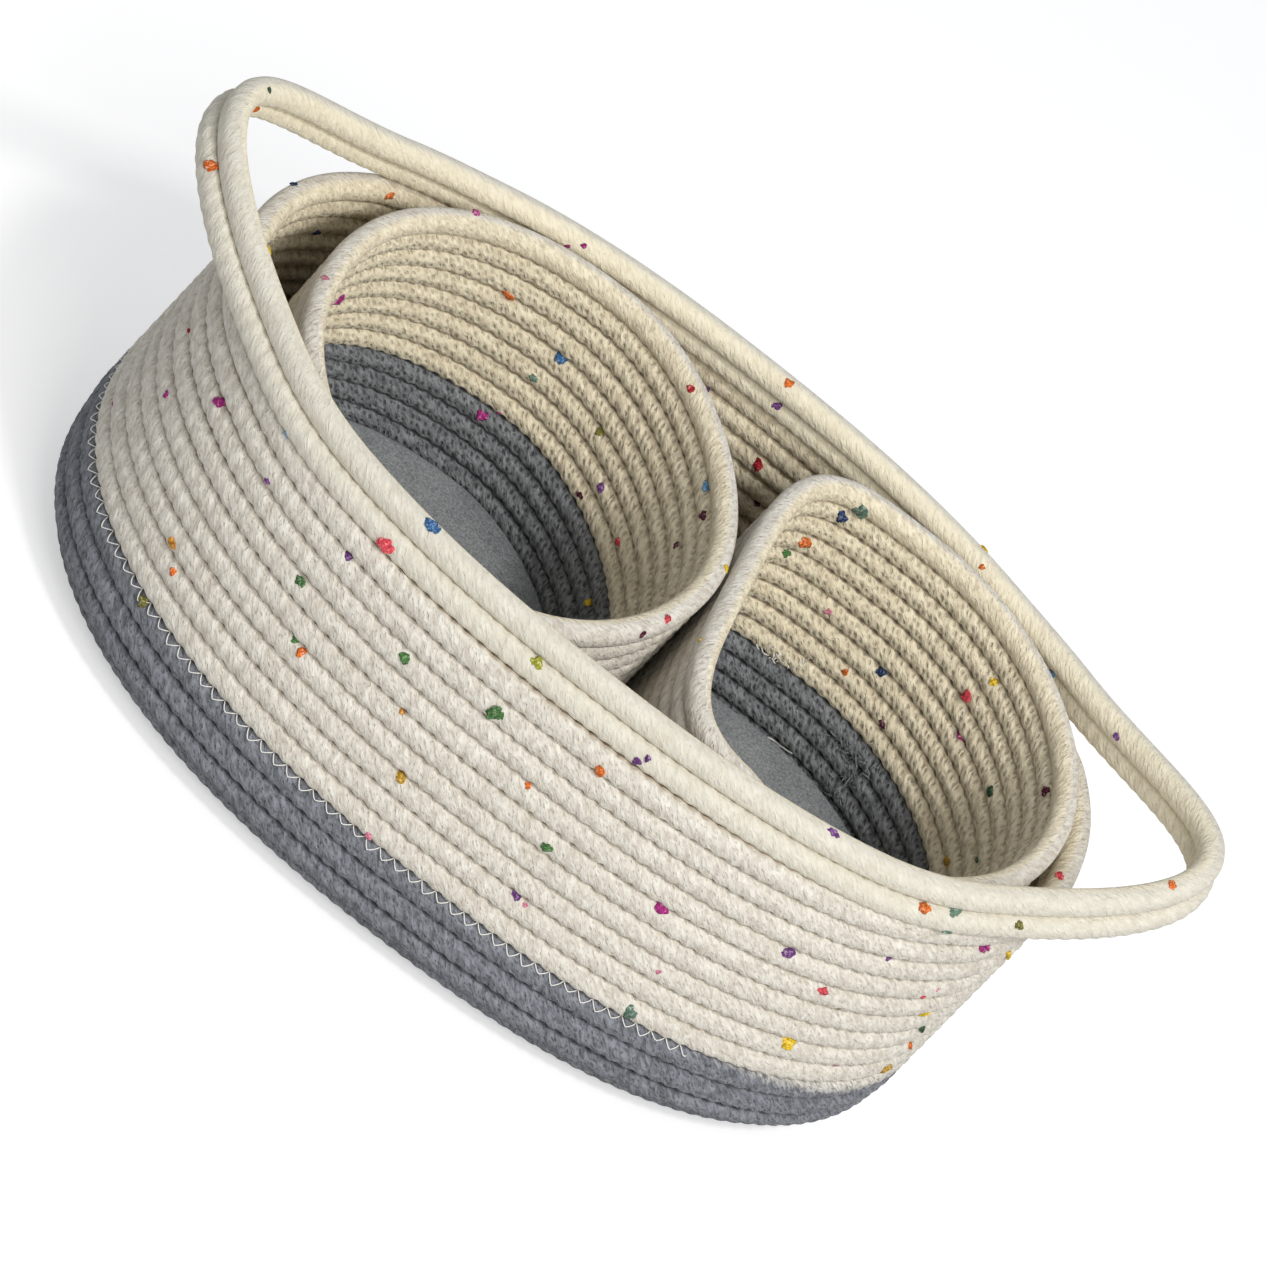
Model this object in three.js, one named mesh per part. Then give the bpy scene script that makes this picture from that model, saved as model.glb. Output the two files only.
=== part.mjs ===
// Oval rope basket with a loop handle at each end, holding two smaller rope baskets.
// Millimetres, +Z up. X runs along the long axis, and the photographed side faces -Y.
// Each wall is rope wound in rows and sewn row to row; a row is counted from 0 at the rim.
import * as THREE from 'three';

// Rope and sewing; the small baskets are of a thinner rope
const ropeDiameter = 9.2;
const smallRopeDiameter = 8.5;
const seamOpening = 0.7;
const touchGap = 0.3;
const straightEnd = 9.2;

// Large basket: the size at the rim's level, and how much it spreads per mm below it
const largeRimHeight = 135.4;
const largeHalfLength = 175.6;
const largeHalfWidth = 105.3;
const largeLengthFlare = 0.025;
const largeWidthFlare = 0.12;
const largeRoundness = 2.3;
const largeBendRadius = 17;
const largeCreamLoops = 9;
const largeRows = 14;

// Top two rows of the large basket, which leave the wall at both ends as handles
const rimRows = 2;
const rimPinch = 4.3;
const rimStretch = 6.4;
const rimLean = 3;
const handleRootInset = 27.1;
const handleOverhang = 33.4;
const handleLead = 35;
const handleTipBow = 26;
const handleRise = 23;
const riseLead = 38.5;
const riseFadeRows = 5;

// Small baskets, each standing on the large floor
const smallBendRadius = 12;
const smallPitchSlack = 0.15;
const smallLean = 0.06;
const smallClearance = 0.8;

// Felt pad that lies on the floor of each small basket, smaller below than above
const padThickness = 14;
const padInset = 6.5;
const padBottomShare = 0.92;

const leftSmallRimHeight = 125.8;
const leftSmallSideClearance = 2.6;
const leftSmallEndClearance = 18.4;
const leftSmallInnerHalf = 73;
const leftSmallOuterRoundness = 2.16;
const leftSmallInnerRoundness = 1.84;
const leftSmallCreamLoops = 8;
const leftSmallRows = 14;

const rightSmallRimHeight = 129;
const rightSmallSideClearance = 4.4;
const rightSmallEndClearance = 2.4;
const rightSmallInnerHalf = 56.5;
const rightSmallOuterRoundness = 2;
const rightSmallInnerRoundness = 4;
const rightSmallCreamLoops = 8.5;
const rightSmallRows = 15;

// Where the two small baskets meet inside the large one
const smallMeetingX = 20.5;

// Steps of a loop of rope, and of the rim and handle runs
const largeLoopSteps = 16;
const smallLoopSteps = 14;
const rimSteps = 10;
const handleSteps = 10;
const gapSamplesPerStep = 4;

// Share of the rope's diameter that its section reaches to each side of the wall's middle
const sideShare = 0.48;

function halfHeightOf(diameter) {
  return (diameter - seamOpening) / 2;
}

function halfWidthOf(diameter) {
  return sideShare * diameter;
}

// Rope section: a hexagon that points at the rows above and below
function ropeSection(diameter) {
  const halfHeight = halfHeightOf(diameter);
  const halfWidth = halfWidthOf(diameter);
  const shoulder = halfHeight / 2;
  return [
    [0, halfHeight],
    [halfWidth, shoulder],
    [halfWidth, -shoulder],
    [0, -halfHeight],
    [-halfWidth, -shoulder],
    [-halfWidth, shoulder],
  ];
}

// Section of two rows sewn together, the lower one leaning out
const ropeHalfHeight = halfHeightOf(ropeDiameter);
const ropeHalfWidth = halfWidthOf(ropeDiameter);
const ropeShoulder = ropeHalfHeight / 2;
const waistHalfWidth = ropeHalfWidth / 2;
const doubleRopeSection = [
  [0, ropeHalfHeight],
  [ropeHalfWidth, ropeShoulder],
  [ropeHalfWidth, -ropeShoulder],
  [rimLean / 2 + waistHalfWidth, -ropeDiameter / 2],
  [rimLean + ropeHalfWidth, ropeShoulder - ropeDiameter],
  [rimLean + ropeHalfWidth, -ropeShoulder - ropeDiameter],
  [rimLean, -ropeHalfHeight - ropeDiameter],
  [rimLean - ropeHalfWidth, -ropeShoulder - ropeDiameter],
  [rimLean - ropeHalfWidth, ropeShoulder - ropeDiameter],
  [rimLean / 2 - waistHalfWidth, -ropeDiameter / 2],
  [-ropeHalfWidth, -ropeShoulder],
  [-ropeHalfWidth, ropeShoulder],
];

// Materials
const creamCotton = new THREE.MeshStandardMaterial({ color: 0xe8dfc8, roughness: 0.95, metalness: 0 });
const greyCotton = new THREE.MeshStandardMaterial({ color: 0x6f7376, roughness: 0.95, metalness: 0 });
const greyFelt = new THREE.MeshStandardMaterial({ color: 0x8b8e8f, roughness: 0.95, metalness: 0 });

// Ovals

function signedPower(value, power) {
  return Math.sign(value) * Math.abs(value) ** power;
}

// Point of an oval at an angle, between an ellipse and a rounded rectangle
function ovalPoint(halfLength, halfWidth, roundness, angle) {
  const x = halfLength * signedPower(Math.cos(angle), 2 / roundness);
  const y = halfWidth * signedPower(Math.sin(angle), 2 / roundness);
  return new THREE.Vector2(x, y);
}

// Angle at which an oval is at a place along its length
function ovalAngle(halfLength, roundness, x) {
  return Math.acos(signedPower(x / halfLength, roundness / 2));
}

// Plan of the rim and where the handles leave it
const rimHalfLength = largeHalfLength + rimStretch;
const rimHalfWidth = largeHalfWidth - rimPinch;
const handleRootX = largeHalfLength - handleRootInset;
const handleReach = largeHalfLength + handleOverhang;
const riseStartX = handleRootX - riseLead;

function rimPlanPoint(angle) {
  return ovalPoint(rimHalfLength, rimHalfWidth, largeRoundness, angle);
}

// Baskets

const largeBasket = {
  centreX: 0,
  baseZ: 0,
  rimZ: largeRimHeight,
  rope: ropeDiameter,
  pitch: ropeDiameter,
  right: { halfLength: largeHalfLength, roundness: largeRoundness },
  left: { halfLength: largeHalfLength, roundness: largeRoundness },
  halfWidth: largeHalfWidth,
  lengthFlare: largeLengthFlare,
  widthFlare: largeWidthFlare,
  bendRadius: largeBendRadius,
  lean: 0,
  risesToHandles: true,
  firstRow: rimRows,
  creamLoops: largeCreamLoops,
  rows: largeRows,
  loopSteps: largeLoopSteps,
  climbEndStep: 2,
};

const smallBaseZ = ropeDiameter + touchGap;
const smallPitch = smallRopeDiameter + smallPitchSlack;
const smallHalfGap = (smallRopeDiameter + smallClearance) / 2;
const wallToSmall = (ropeDiameter + smallRopeDiameter) / 2;

// A small basket passes up through the rim beside its widest place, and its outer end
// clears the inside of the wall
function smallHalfWidth(centreX, sideClearance) {
  const rimBeside = rimPlanPoint(ovalAngle(rimHalfLength, largeRoundness, centreX));
  return rimBeside.y - wallToSmall - sideClearance;
}

function smallOuterHalf(centreX, endClearance) {
  return largeHalfLength - wallToSmall - endClearance - Math.abs(centreX);
}

const leftSmallCentreX = smallMeetingX - smallHalfGap - leftSmallInnerHalf;
const rightSmallCentreX = smallMeetingX + smallHalfGap + rightSmallInnerHalf;

const leftSmallBasket = {
  centreX: leftSmallCentreX,
  baseZ: smallBaseZ,
  rimZ: leftSmallRimHeight,
  rope: smallRopeDiameter,
  pitch: smallPitch,
  right: { halfLength: leftSmallInnerHalf, roundness: leftSmallInnerRoundness },
  left: {
    halfLength: smallOuterHalf(leftSmallCentreX, leftSmallEndClearance),
    roundness: leftSmallOuterRoundness,
  },
  halfWidth: smallHalfWidth(leftSmallCentreX, leftSmallSideClearance),
  lengthFlare: 0,
  widthFlare: 0,
  bendRadius: smallBendRadius,
  lean: smallLean,
  risesToHandles: false,
  firstRow: 0,
  creamLoops: leftSmallCreamLoops,
  rows: leftSmallRows,
  loopSteps: smallLoopSteps,
  climbEndStep: 11,
};

const rightSmallBasket = {
  ...leftSmallBasket,
  centreX: rightSmallCentreX,
  rimZ: rightSmallRimHeight,
  right: {
    halfLength: smallOuterHalf(rightSmallCentreX, rightSmallEndClearance),
    roundness: rightSmallOuterRoundness,
  },
  left: { halfLength: rightSmallInnerHalf, roundness: rightSmallInnerRoundness },
  halfWidth: smallHalfWidth(rightSmallCentreX, rightSmallSideClearance),
  creamLoops: rightSmallCreamLoops,
  rows: rightSmallRows,
};

// Shape of the walls

// How far the rim rises at a place along X, towards the handle's tip
function rimRise(x) {
  const along = Math.max(0, Math.abs(x) - riseStartX) / (handleReach - riseStartX);
  return handleRise * along * along;
}

// Down the wall, round the bend and in across the floor, for a distance below the rim.
// The lowest row lies a little above the underside of the floor, which carries the basket.
function wallProfile(basket, distance) {
  const lowestRowZ = basket.baseZ + halfWidthOf(basket.rope) + touchGap;
  const bendTop = lowestRowZ + basket.bendRadius;
  const straight = basket.rimZ - bendTop;
  if (distance <= straight) {
    const height = 1 - distance / straight;
    return { depth: distance, inset: 0, z: basket.rimZ - distance, height };
  }
  const turned = Math.min((distance - straight) / basket.bendRadius, Math.PI / 2);
  const across = Math.max(0, distance - straight - basket.bendRadius * Math.PI / 2);
  const inset = basket.bendRadius * (1 - Math.cos(turned)) + across;
  return { depth: straight, inset, z: bendTop - basket.bendRadius * Math.sin(turned), height: 0 };
}

// Plan of a wall at an angle, for a place on its profile
function wallPlanPoint(basket, profile, angle) {
  const side = Math.cos(angle) >= 0 ? basket.right : basket.left;
  const halfLength = side.halfLength + basket.lengthFlare * profile.depth - profile.inset;
  const halfWidth = basket.halfWidth + basket.widthFlare * profile.depth - profile.inset;
  return ovalPoint(halfLength, halfWidth, side.roundness, angle);
}

// Centre line of a row at an angle; the row may be a fraction between two rows
function rowPoint(basket, angle, row) {
  const profile = wallProfile(basket, row * basket.pitch);
  const plan = wallPlanPoint(basket, profile, angle);
  let z = profile.z + basket.lean * plan.y * profile.height;
  if (basket.risesToHandles) {
    const fade = Math.max(0, 1 - (row - rimRows + 1) / riseFadeRows);
    z += rimRise(Math.min(Math.abs(plan.x), handleRootX)) * fade;
  }
  return new THREE.Vector3(basket.centreX + plan.x, plan.y, z);
}

// Solids from stations

// Joins the section at each station into one closed tube with flat ends.
// A station is an origin, a direction for the section's width and one for its height.
function closedTube(stations, section) {
  const positions = [];
  const indices = [];
  const sides = section.length;
  for (const station of stations) {
    for (const [width, height] of section) {
      const point = station.origin.clone();
      point.addScaledVector(station.across, width);
      point.addScaledVector(station.up, height);
      positions.push(point.x, point.y, point.z);
    }
  }
  for (let ring = 0; ring + 1 < stations.length; ring += 1) {
    for (let side = 0; side < sides; side += 1) {
      const a = ring * sides + side;
      const b = ring * sides + (side + 1) % sides;
      indices.push(a, b, a + sides);
      indices.push(b, b + sides, a + sides);
    }
  }
  const outline = section.map(([width, height]) => new THREE.Vector2(width, height));
  const last = (stations.length - 1) * sides;
  const clockwise = THREE.ShapeUtils.isClockWise(outline);
  for (const [a, p, q] of THREE.ShapeUtils.triangulateShape(outline, [])) {
    const same = THREE.ShapeUtils.isClockWise([outline[a], outline[p], outline[q]]) === clockwise;
    const [b, c] = same ? [p, q] : [q, p];
    indices.push(c, b, a);
    indices.push(last + a, last + b, last + c);
  }
  if (signedVolume(positions, indices) < 0) {
    indices.reverse();
  }
  const geometry = new THREE.BufferGeometry();
  geometry.setAttribute('position', new THREE.Float32BufferAttribute(positions, 3));
  geometry.setIndex(indices);
  geometry.computeVertexNormals();
  return geometry;
}

function signedVolume(positions, indices) {
  const corner = (index) => new THREE.Vector3().fromArray(positions, 3 * index);
  let volume = 0;
  for (let i = 0; i < indices.length; i += 3) {
    const a = corner(indices[i]);
    volume += a.dot(corner(indices[i + 1]).cross(corner(indices[i + 2]))) / 6;
  }
  return volume;
}

// Station of a winding: the section's height follows the wall's profile
function windingStation(origin, along, profileUp) {
  const up = profileUp.clone().addScaledVector(along, -profileUp.dot(along)).normalize();
  const across = new THREE.Vector3().crossVectors(along, up).normalize();
  return { origin, across, up };
}

// One unbroken rope that winds down a wall, between two steps counted from the wall's top.
// Rows are level, and each loop drops to the next row in its last step. The rope may start or
// end part of the way along a step.
function windingStations(basket, first, last, startOffset, endOffset) {
  const steps = basket.loopSteps;
  const angleOf = (index) => 2 * Math.PI * (index + basket.climbEndStep) / steps;
  const rowOf = (index) => basket.firstRow + Math.floor(index / steps);
  const pointOf = (index) => rowPoint(basket, angleOf(index), rowOf(index));
  const upOf = (index) => {
    const above = rowPoint(basket, angleOf(index), rowOf(index) - 0.5);
    return above.sub(rowPoint(basket, angleOf(index), rowOf(index) + 0.5)).normalize();
  };
  const chord = (index) => pointOf(index + 1).sub(pointOf(index)).normalize();
  const start = pointOf(first).addScaledVector(chord(first), startOffset);
  const stations = [windingStation(start, chord(first), upOf(first))];
  for (let index = first + 1; index < last; index += 1) {
    const along = chord(index - 1).add(chord(index)).normalize();
    stations.push(windingStation(pointOf(index), along, upOf(index)));
  }
  if (endOffset > 0) {
    const turn = chord(last - 1).add(chord(last)).normalize();
    const end = pointOf(last).addScaledVector(chord(last), endOffset);
    stations.push(windingStation(pointOf(last), turn, upOf(last)));
    stations.push(windingStation(end, chord(last), upOf(last)));
  } else {
    stations.push(windingStation(pointOf(last), chord(last - 1), upOf(last)));
  }
  return stations;
}

// Least distance between two loops of one winding, on points spread along its edges
function leastLoopGap(stations, section, loopSteps) {
  const cornersOf = (station) => section.map(([width, height]) => {
    const point = station.origin.clone();
    point.addScaledVector(station.across, width);
    return point.addScaledVector(station.up, height);
  });
  const rings = stations.map(cornersOf);
  const samples = [];
  for (let ring = 0; ring + 1 < rings.length; ring += 1) {
    for (let part = 0; part < gapSamplesPerStep; part += 1) {
      const share = part / gapSamplesPerStep;
      for (let side = 0; side < section.length; side += 1) {
        const point = rings[ring][side].clone().lerp(rings[ring + 1][side], share);
        samples.push({ place: ring + share, point });
      }
    }
  }
  let least = Infinity;
  for (let i = 0; i < samples.length; i += 1) {
    for (let j = i + 1; j < samples.length; j += 1) {
      const apart = samples[j].place - samples[i].place;
      if (apart > loopSteps / 2 && apart < 2 * loopSteps) {
        least = Math.min(least, samples[i].point.distanceTo(samples[j].point));
      }
    }
  }
  return least;
}

function ropeWinding(name, basket, stations, material) {
  const section = ropeSection(basket.rope);
  const gap = leastLoopGap(stations, section, basket.loopSteps);
  console.log(`${name}: least gap between its loops ${gap.toFixed(2)} mm`);
  return namedMesh(name, closedTube(stations, section), material);
}

function namedMesh(name, geometry, material) {
  const mesh = new THREE.Mesh(geometry, material);
  mesh.name = name;
  return mesh;
}

// Outline inside a basket, with one edge beside each step of rope
function insideOutline(basket, profile) {
  const corners = [];
  for (let step = 0; step < basket.loopSteps; step += 1) {
    corners.push(wallPlanPoint(basket, profile, 2 * Math.PI * step / basket.loopSteps));
  }
  return corners;
}

// Floor of a basket: a plate inside the last row of its wall
function floorPlate(name, basket) {
  const lastRow = basket.firstRow + basket.rows - 1;
  const reach = lastRow * basket.pitch + halfHeightOf(basket.rope) + seamOpening;
  const shape = new THREE.Shape(insideOutline(basket, wallProfile(basket, reach)));
  const plate = new THREE.ExtrudeGeometry(shape, { depth: basket.rope, bevelEnabled: false });
  const mesh = namedMesh(name, plate, greyCotton);
  mesh.position.set(basket.centreX, 0, basket.baseZ);
  return mesh;
}

// Pad on the floor of a basket; it narrows downwards, clear of the bend of the wall
function feltPad(name, basket) {
  const outline = insideOutline(basket, { depth: 0, inset: padInset });
  const bottomZ = basket.baseZ + basket.rope + touchGap;
  const stationAt = (z, share) => ({
    origin: new THREE.Vector3(basket.centreX, 0, z),
    across: new THREE.Vector3(share, 0, 0),
    up: new THREE.Vector3(0, share, 0),
  });
  const stations = [stationAt(bottomZ, padBottomShare), stationAt(bottomZ + padThickness, 1)];
  return namedMesh(name, closedTube(stations, outline.map(({ x, y }) => [x, y])), greyFelt);
}

// Floor and the two windings of one basket; the grey rope starts where the cream rope ends
function basketBody(prefix, basket) {
  const group = new THREE.Group();
  const colourStep = Math.round(basket.creamLoops * basket.loopSteps);
  const lastStep = basket.rows * basket.loopSteps - 1;
  const cream = windingStations(basket, 0, colourStep, 0, straightEnd);
  const grey = windingStations(basket, colourStep, lastStep, straightEnd + touchGap, 0);
  group.add(floorPlate(`${prefix}_floor`, basket));
  group.add(ropeWinding(`${prefix}_grey_coil`, basket, grey, greyCotton));
  group.add(ropeWinding(`${prefix}_cream_coil`, basket, cream, creamCotton));
  return group;
}

// Rim and handles of the large basket

const rootAngle = ovalAngle(rimHalfLength, largeRoundness, handleRootX);
const rootPoint = rimPlanPoint(rootAngle);
const smallTurn = 0.01;
const rootDirection = rimPlanPoint(rootAngle - smallTurn)
  .sub(rimPlanPoint(rootAngle + smallTurn))
  .normalize();

// One side of the right handle, from its root to its tip
const handleLeg = new THREE.CubicBezierCurve(
  rootPoint,
  rootPoint.clone().addScaledVector(rootDirection, handleLead),
  new THREE.Vector2(handleReach, handleTipBow),
  new THREE.Vector2(handleReach, 0),
);

// Upright sections along a plan path, with the section's width pointing away from the inside
function uprightStations(planPoints, firstDirection, lastDirection) {
  return planPoints.map((point, index) => {
    const before = index > 0 ? point.clone().sub(planPoints[index - 1]).normalize() : firstDirection;
    const after = index + 1 < planPoints.length
      ? planPoints[index + 1].clone().sub(point).normalize()
      : lastDirection;
    const along = before.clone().add(after).normalize();
    const origin = new THREE.Vector3(point.x, point.y, largeRimHeight + rimRise(point.x));
    return {
      origin,
      across: new THREE.Vector3(along.y, -along.x, 0),
      up: new THREE.Vector3(0, 0, 1),
    };
  });
}

// Back rim from the left root to the right root, read clockwise from above; the front rim mirrors it
function backRimStations() {
  const halfGap = touchGap / 2;
  const right = rootPoint.clone().addScaledVector(rootDirection, -halfGap);
  const rightInner = rootPoint.clone().addScaledVector(rootDirection, -straightEnd);
  const left = new THREE.Vector2(-right.x, right.y);
  const leftInner = new THREE.Vector2(-rightInner.x, rightInner.y);
  const points = [left, leftInner];
  const innerAngle = ovalAngle(rimHalfLength, largeRoundness, rightInner.x);
  for (let step = 1; step < rimSteps; step += 1) {
    const share = step / rimSteps;
    points.push(rimPlanPoint(Math.PI - innerAngle - share * (Math.PI - 2 * innerAngle)));
  }
  points.push(rightInner, right);
  const leftDirection = new THREE.Vector2(rootDirection.x, -rootDirection.y);
  return uprightStations(points, leftDirection, rootDirection).map(outwards);
}

// Right handle from its back root, round the tip, to its front root
function rightHandleStations() {
  const halfGap = touchGap / 2;
  const leg = [
    rootPoint.clone().addScaledVector(rootDirection, halfGap),
    rootPoint.clone().addScaledVector(rootDirection, straightEnd),
  ];
  for (let step = 2; step <= handleSteps / 2; step += 1) {
    leg.push(handleLeg.getPoint(2 * step / handleSteps));
  }
  const mirrored = leg.slice(0, -1).reverse().map((point) => new THREE.Vector2(point.x, -point.y));
  const lastDirection = new THREE.Vector2(-rootDirection.x, rootDirection.y);
  return uprightStations([...leg, ...mirrored], rootDirection, lastDirection).map(outwards);
}

// Turns a section's width so that it points away from the middle of the basket
function outwards(station) {
  const facing = station.across.x * station.origin.x + station.across.y * station.origin.y;
  if (facing < 0) {
    station.across.negate();
  }
  return station;
}

// The same stations on the other side of a plane through the middle
function mirroredStations(stations, axis) {
  return stations.map((station) => {
    const flipped = { origin: station.origin.clone(), across: station.across.clone(), up: station.up };
    flipped.origin[axis] *= -1;
    flipped.across[axis] *= -1;
    return flipped;
  });
}

function doubleRope(name, stations) {
  return namedMesh(name, closedTube(stations, doubleRopeSection), creamCotton);
}

// The whole set
const ropeBasketSet = new THREE.Group();
ropeBasketSet.add(basketBody('large', largeBasket));
ropeBasketSet.add(doubleRope('large_back_rim', backRimStations()));
ropeBasketSet.add(doubleRope('large_front_rim', mirroredStations(backRimStations(), 'y')));
ropeBasketSet.add(doubleRope('right_handle', rightHandleStations()));
ropeBasketSet.add(doubleRope('left_handle', mirroredStations(rightHandleStations(), 'x')));
ropeBasketSet.add(basketBody('small_left', leftSmallBasket));
ropeBasketSet.add(feltPad('small_left_pad', leftSmallBasket));
ropeBasketSet.add(basketBody('small_right', rightSmallBasket));
ropeBasketSet.add(feltPad('small_right_pad', rightSmallBasket));

export default ropeBasketSet;
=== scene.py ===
"""An oval basket of sewn cotton rope with two loop handles, holding two smaller rope baskets.

Shapes are worked out in millimetres and turned to metres when a mesh is made. X runs along the
large basket, the photographed side faces -Y, and Z is up. Each wall is one rope wound in rows
and sewn row to row; rows are counted from 0 at the rim.
"""
from dataclasses import dataclass
from functools import partial
from math import cos, pi, radians, sin

import bmesh
import bpy
import numpy as np
from mathutils import Matrix, Vector
from mathutils.bvhtree import BVHTree


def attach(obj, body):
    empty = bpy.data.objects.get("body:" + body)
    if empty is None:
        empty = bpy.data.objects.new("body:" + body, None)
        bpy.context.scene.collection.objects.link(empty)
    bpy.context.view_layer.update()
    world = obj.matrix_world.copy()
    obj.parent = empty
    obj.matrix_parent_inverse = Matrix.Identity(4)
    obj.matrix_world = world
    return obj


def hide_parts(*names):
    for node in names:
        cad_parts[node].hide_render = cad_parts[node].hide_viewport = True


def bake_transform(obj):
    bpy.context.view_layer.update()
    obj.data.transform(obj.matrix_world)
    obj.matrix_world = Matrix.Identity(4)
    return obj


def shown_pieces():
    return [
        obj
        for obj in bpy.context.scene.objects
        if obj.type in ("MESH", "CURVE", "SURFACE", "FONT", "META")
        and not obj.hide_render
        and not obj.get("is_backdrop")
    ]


bl_info = {
    "name": "Rope Basket Set",
    "version": (1, 0, 0),
    "blender": (4, 5, 0),
    "location": "3D View > Sidebar > Rope Baskets",
    "description": "Winds an oval rope basket with handles and the two small rope baskets in it",
    "category": "Object",
}

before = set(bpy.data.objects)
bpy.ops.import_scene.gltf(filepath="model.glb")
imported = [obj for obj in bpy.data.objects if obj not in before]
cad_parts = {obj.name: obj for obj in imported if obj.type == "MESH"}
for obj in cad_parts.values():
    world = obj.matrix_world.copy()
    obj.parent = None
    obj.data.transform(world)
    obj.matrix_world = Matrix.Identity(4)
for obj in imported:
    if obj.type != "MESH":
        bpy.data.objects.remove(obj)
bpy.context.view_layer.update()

MM = 0.001
SEED = 7

# The ropes' UV map in millimetres, and the attributes that materials read: the dye of a slub, and
# how bare of dye, how sewn and how full of stitch holes a rope is
ROPE_MAP = "Rope"
DYE = "Dye"
UNDYED = "Undyed"
SEWN = "Sewn"
NETTED = "Netted"

# Rope and sewing, millimetres: the first three values are those of the solids
TOUCH_GAP = 0.3
SIDE_SHARE = 0.48
STRAIGHT_END = 9.2
STITCH_PITCH = 5.9
ROPE_ROUND = 29.0
RIM_PULL = 0.4
ZIGZAG_DROP = 2.4

# Share of a stitch's pull that twists the rope between stitches
TWIST_SHARE = 0.9

# No oval gets smaller than this half size, in millimetres
LEAST_HALF = 0.1

# How far the soft ropes press into the rows beside them: in a wall, the upper and the lower rope
# of the rim, and on a floor
WALL_PRESS = 0.45
UPPER_RIM_PRESS = 0.3
LOWER_RIM_PRESS = 0.4
FLOOR_PRESS = 0.1

# How square a rope is on its outer side and on its inner side, where 2 is round
WALL_SHAPE = (2.7, 2.2)
RIM_SHAPE = (2.6, 2.2)
FLOOR_SHAPE = (2.4, 2.4)
ROUND_SHAPE = (2.0, 2.0)

# How far stitch holes show inside the large basket, on a first loop, and on the rim
LARGE_NET = 0.55
FIRST_LOOP_NET = 0.15
RIM_NET = 0.1

# Space between the rings of a rope, four to each stitch, so that no stitch is missed, and more
# where none shows; and close points to each step of a winding
RING_SPACING = STITCH_PITCH / 4
FLOOR_RING_SPACING = 3.0
THREAD_RING_SPACING = 0.9
STEP_SAMPLES = 80

# Large basket
LARGE_ROPE = 9.2
LARGE_HALF_LENGTH = 175.6
LARGE_HALF_WIDTH = 105.3
LARGE_ROUNDNESS = 2.3
RIM_HEIGHT = 135.4

# Top two rows of the large basket, which leave the wall at both ends as handles
RIM_ROWS = 2
RIM_HALF_LENGTH = 182.0
RIM_HALF_WIDTH = 101.0
RIM_LEAN = 3.0
HANDLE_ROOT_X = 148.5
HANDLE_ROOT_ANGLE = np.arccos((HANDLE_ROOT_X / RIM_HALF_LENGTH) ** (LARGE_ROUNDNESS / 2))
HANDLE_REACH = 209.0
HANDLE_LEAD = 35.0
HANDLE_TIP_BOW = 26.0
HANDLE_RISE = 23.0
RISE_START_X = 110.0
RISE_FADE_ROWS = 5

# Small baskets
SMALL_ROPE = 8.5
SMALL_PITCH = 8.65
SMALL_MEETING_X = 20.5
SMALL_HALF_GAP = 4.65
SMALL_BASE_Z = 9.5
PAD_THICKNESS = 14.0
PAD_INSET = 6.5
PAD_OVERLAP = 1.3

# Edge of a pad from the bottom up, as (share of its width, height from its top)
PAD_PROFILE = ((0.90, -13.8), (0.955, -10.5), (1.0, -4.0), (1.0, -2.4), (0.99, -1.1),
               (0.965, -0.5), (0.8, -0.2), (0.5, 0.0), (0.2, 0.0))


@dataclass(frozen=True)
class Basket:
    """One wound basket, in the same named values as the solids."""

    name: str
    body: str
    centre_x: float
    base_z: float
    rim_z: float
    rope: float
    pitch: float
    right_half: float
    right_roundness: float
    left_half: float
    left_roundness: float
    half_width: float
    length_flare: float
    width_flare: float
    bend_radius: float
    lean: float
    rises_to_handles: bool
    first_row: int
    cream_loops: float
    rows: int
    loop_steps: int
    climb_end_step: int


def rim_half_width_at(x):
    """Half width of the large rim at a place along X."""
    inward = 1 - (abs(x) / RIM_HALF_LENGTH) ** LARGE_ROUNDNESS
    return RIM_HALF_WIDTH * inward ** (1 / LARGE_ROUNDNESS)


WALL_TO_SMALL = (LARGE_ROPE + SMALL_ROPE) / 2
LEFT_INNER_HALF = 73.0
LEFT_CENTRE_X = SMALL_MEETING_X - SMALL_HALF_GAP - LEFT_INNER_HALF
RIGHT_INNER_HALF = 56.5
RIGHT_CENTRE_X = SMALL_MEETING_X + SMALL_HALF_GAP + RIGHT_INNER_HALF

LARGE = Basket(
    name="large", body="large_basket", centre_x=0.0, base_z=0.0, rim_z=RIM_HEIGHT,
    rope=LARGE_ROPE, pitch=LARGE_ROPE,
    right_half=LARGE_HALF_LENGTH, right_roundness=LARGE_ROUNDNESS,
    left_half=LARGE_HALF_LENGTH, left_roundness=LARGE_ROUNDNESS,
    half_width=LARGE_HALF_WIDTH, length_flare=0.025, width_flare=0.12, bend_radius=17.0,
    lean=0.0, rises_to_handles=True, first_row=RIM_ROWS, cream_loops=9.0, rows=14,
    loop_steps=16, climb_end_step=2,
)
SMALL_LEFT = Basket(
    name="small_left", body="small_left_basket", centre_x=LEFT_CENTRE_X,
    base_z=SMALL_BASE_Z, rim_z=125.8, rope=SMALL_ROPE, pitch=SMALL_PITCH,
    right_half=LEFT_INNER_HALF, right_roundness=1.84,
    left_half=LARGE_HALF_LENGTH - WALL_TO_SMALL - 18.4 - abs(LEFT_CENTRE_X), left_roundness=2.16,
    half_width=rim_half_width_at(LEFT_CENTRE_X) - WALL_TO_SMALL - 2.6,
    length_flare=0.0, width_flare=0.0, bend_radius=12.0,
    lean=0.06, rises_to_handles=False, first_row=0, cream_loops=8.0, rows=14,
    loop_steps=14, climb_end_step=11,
)
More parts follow.
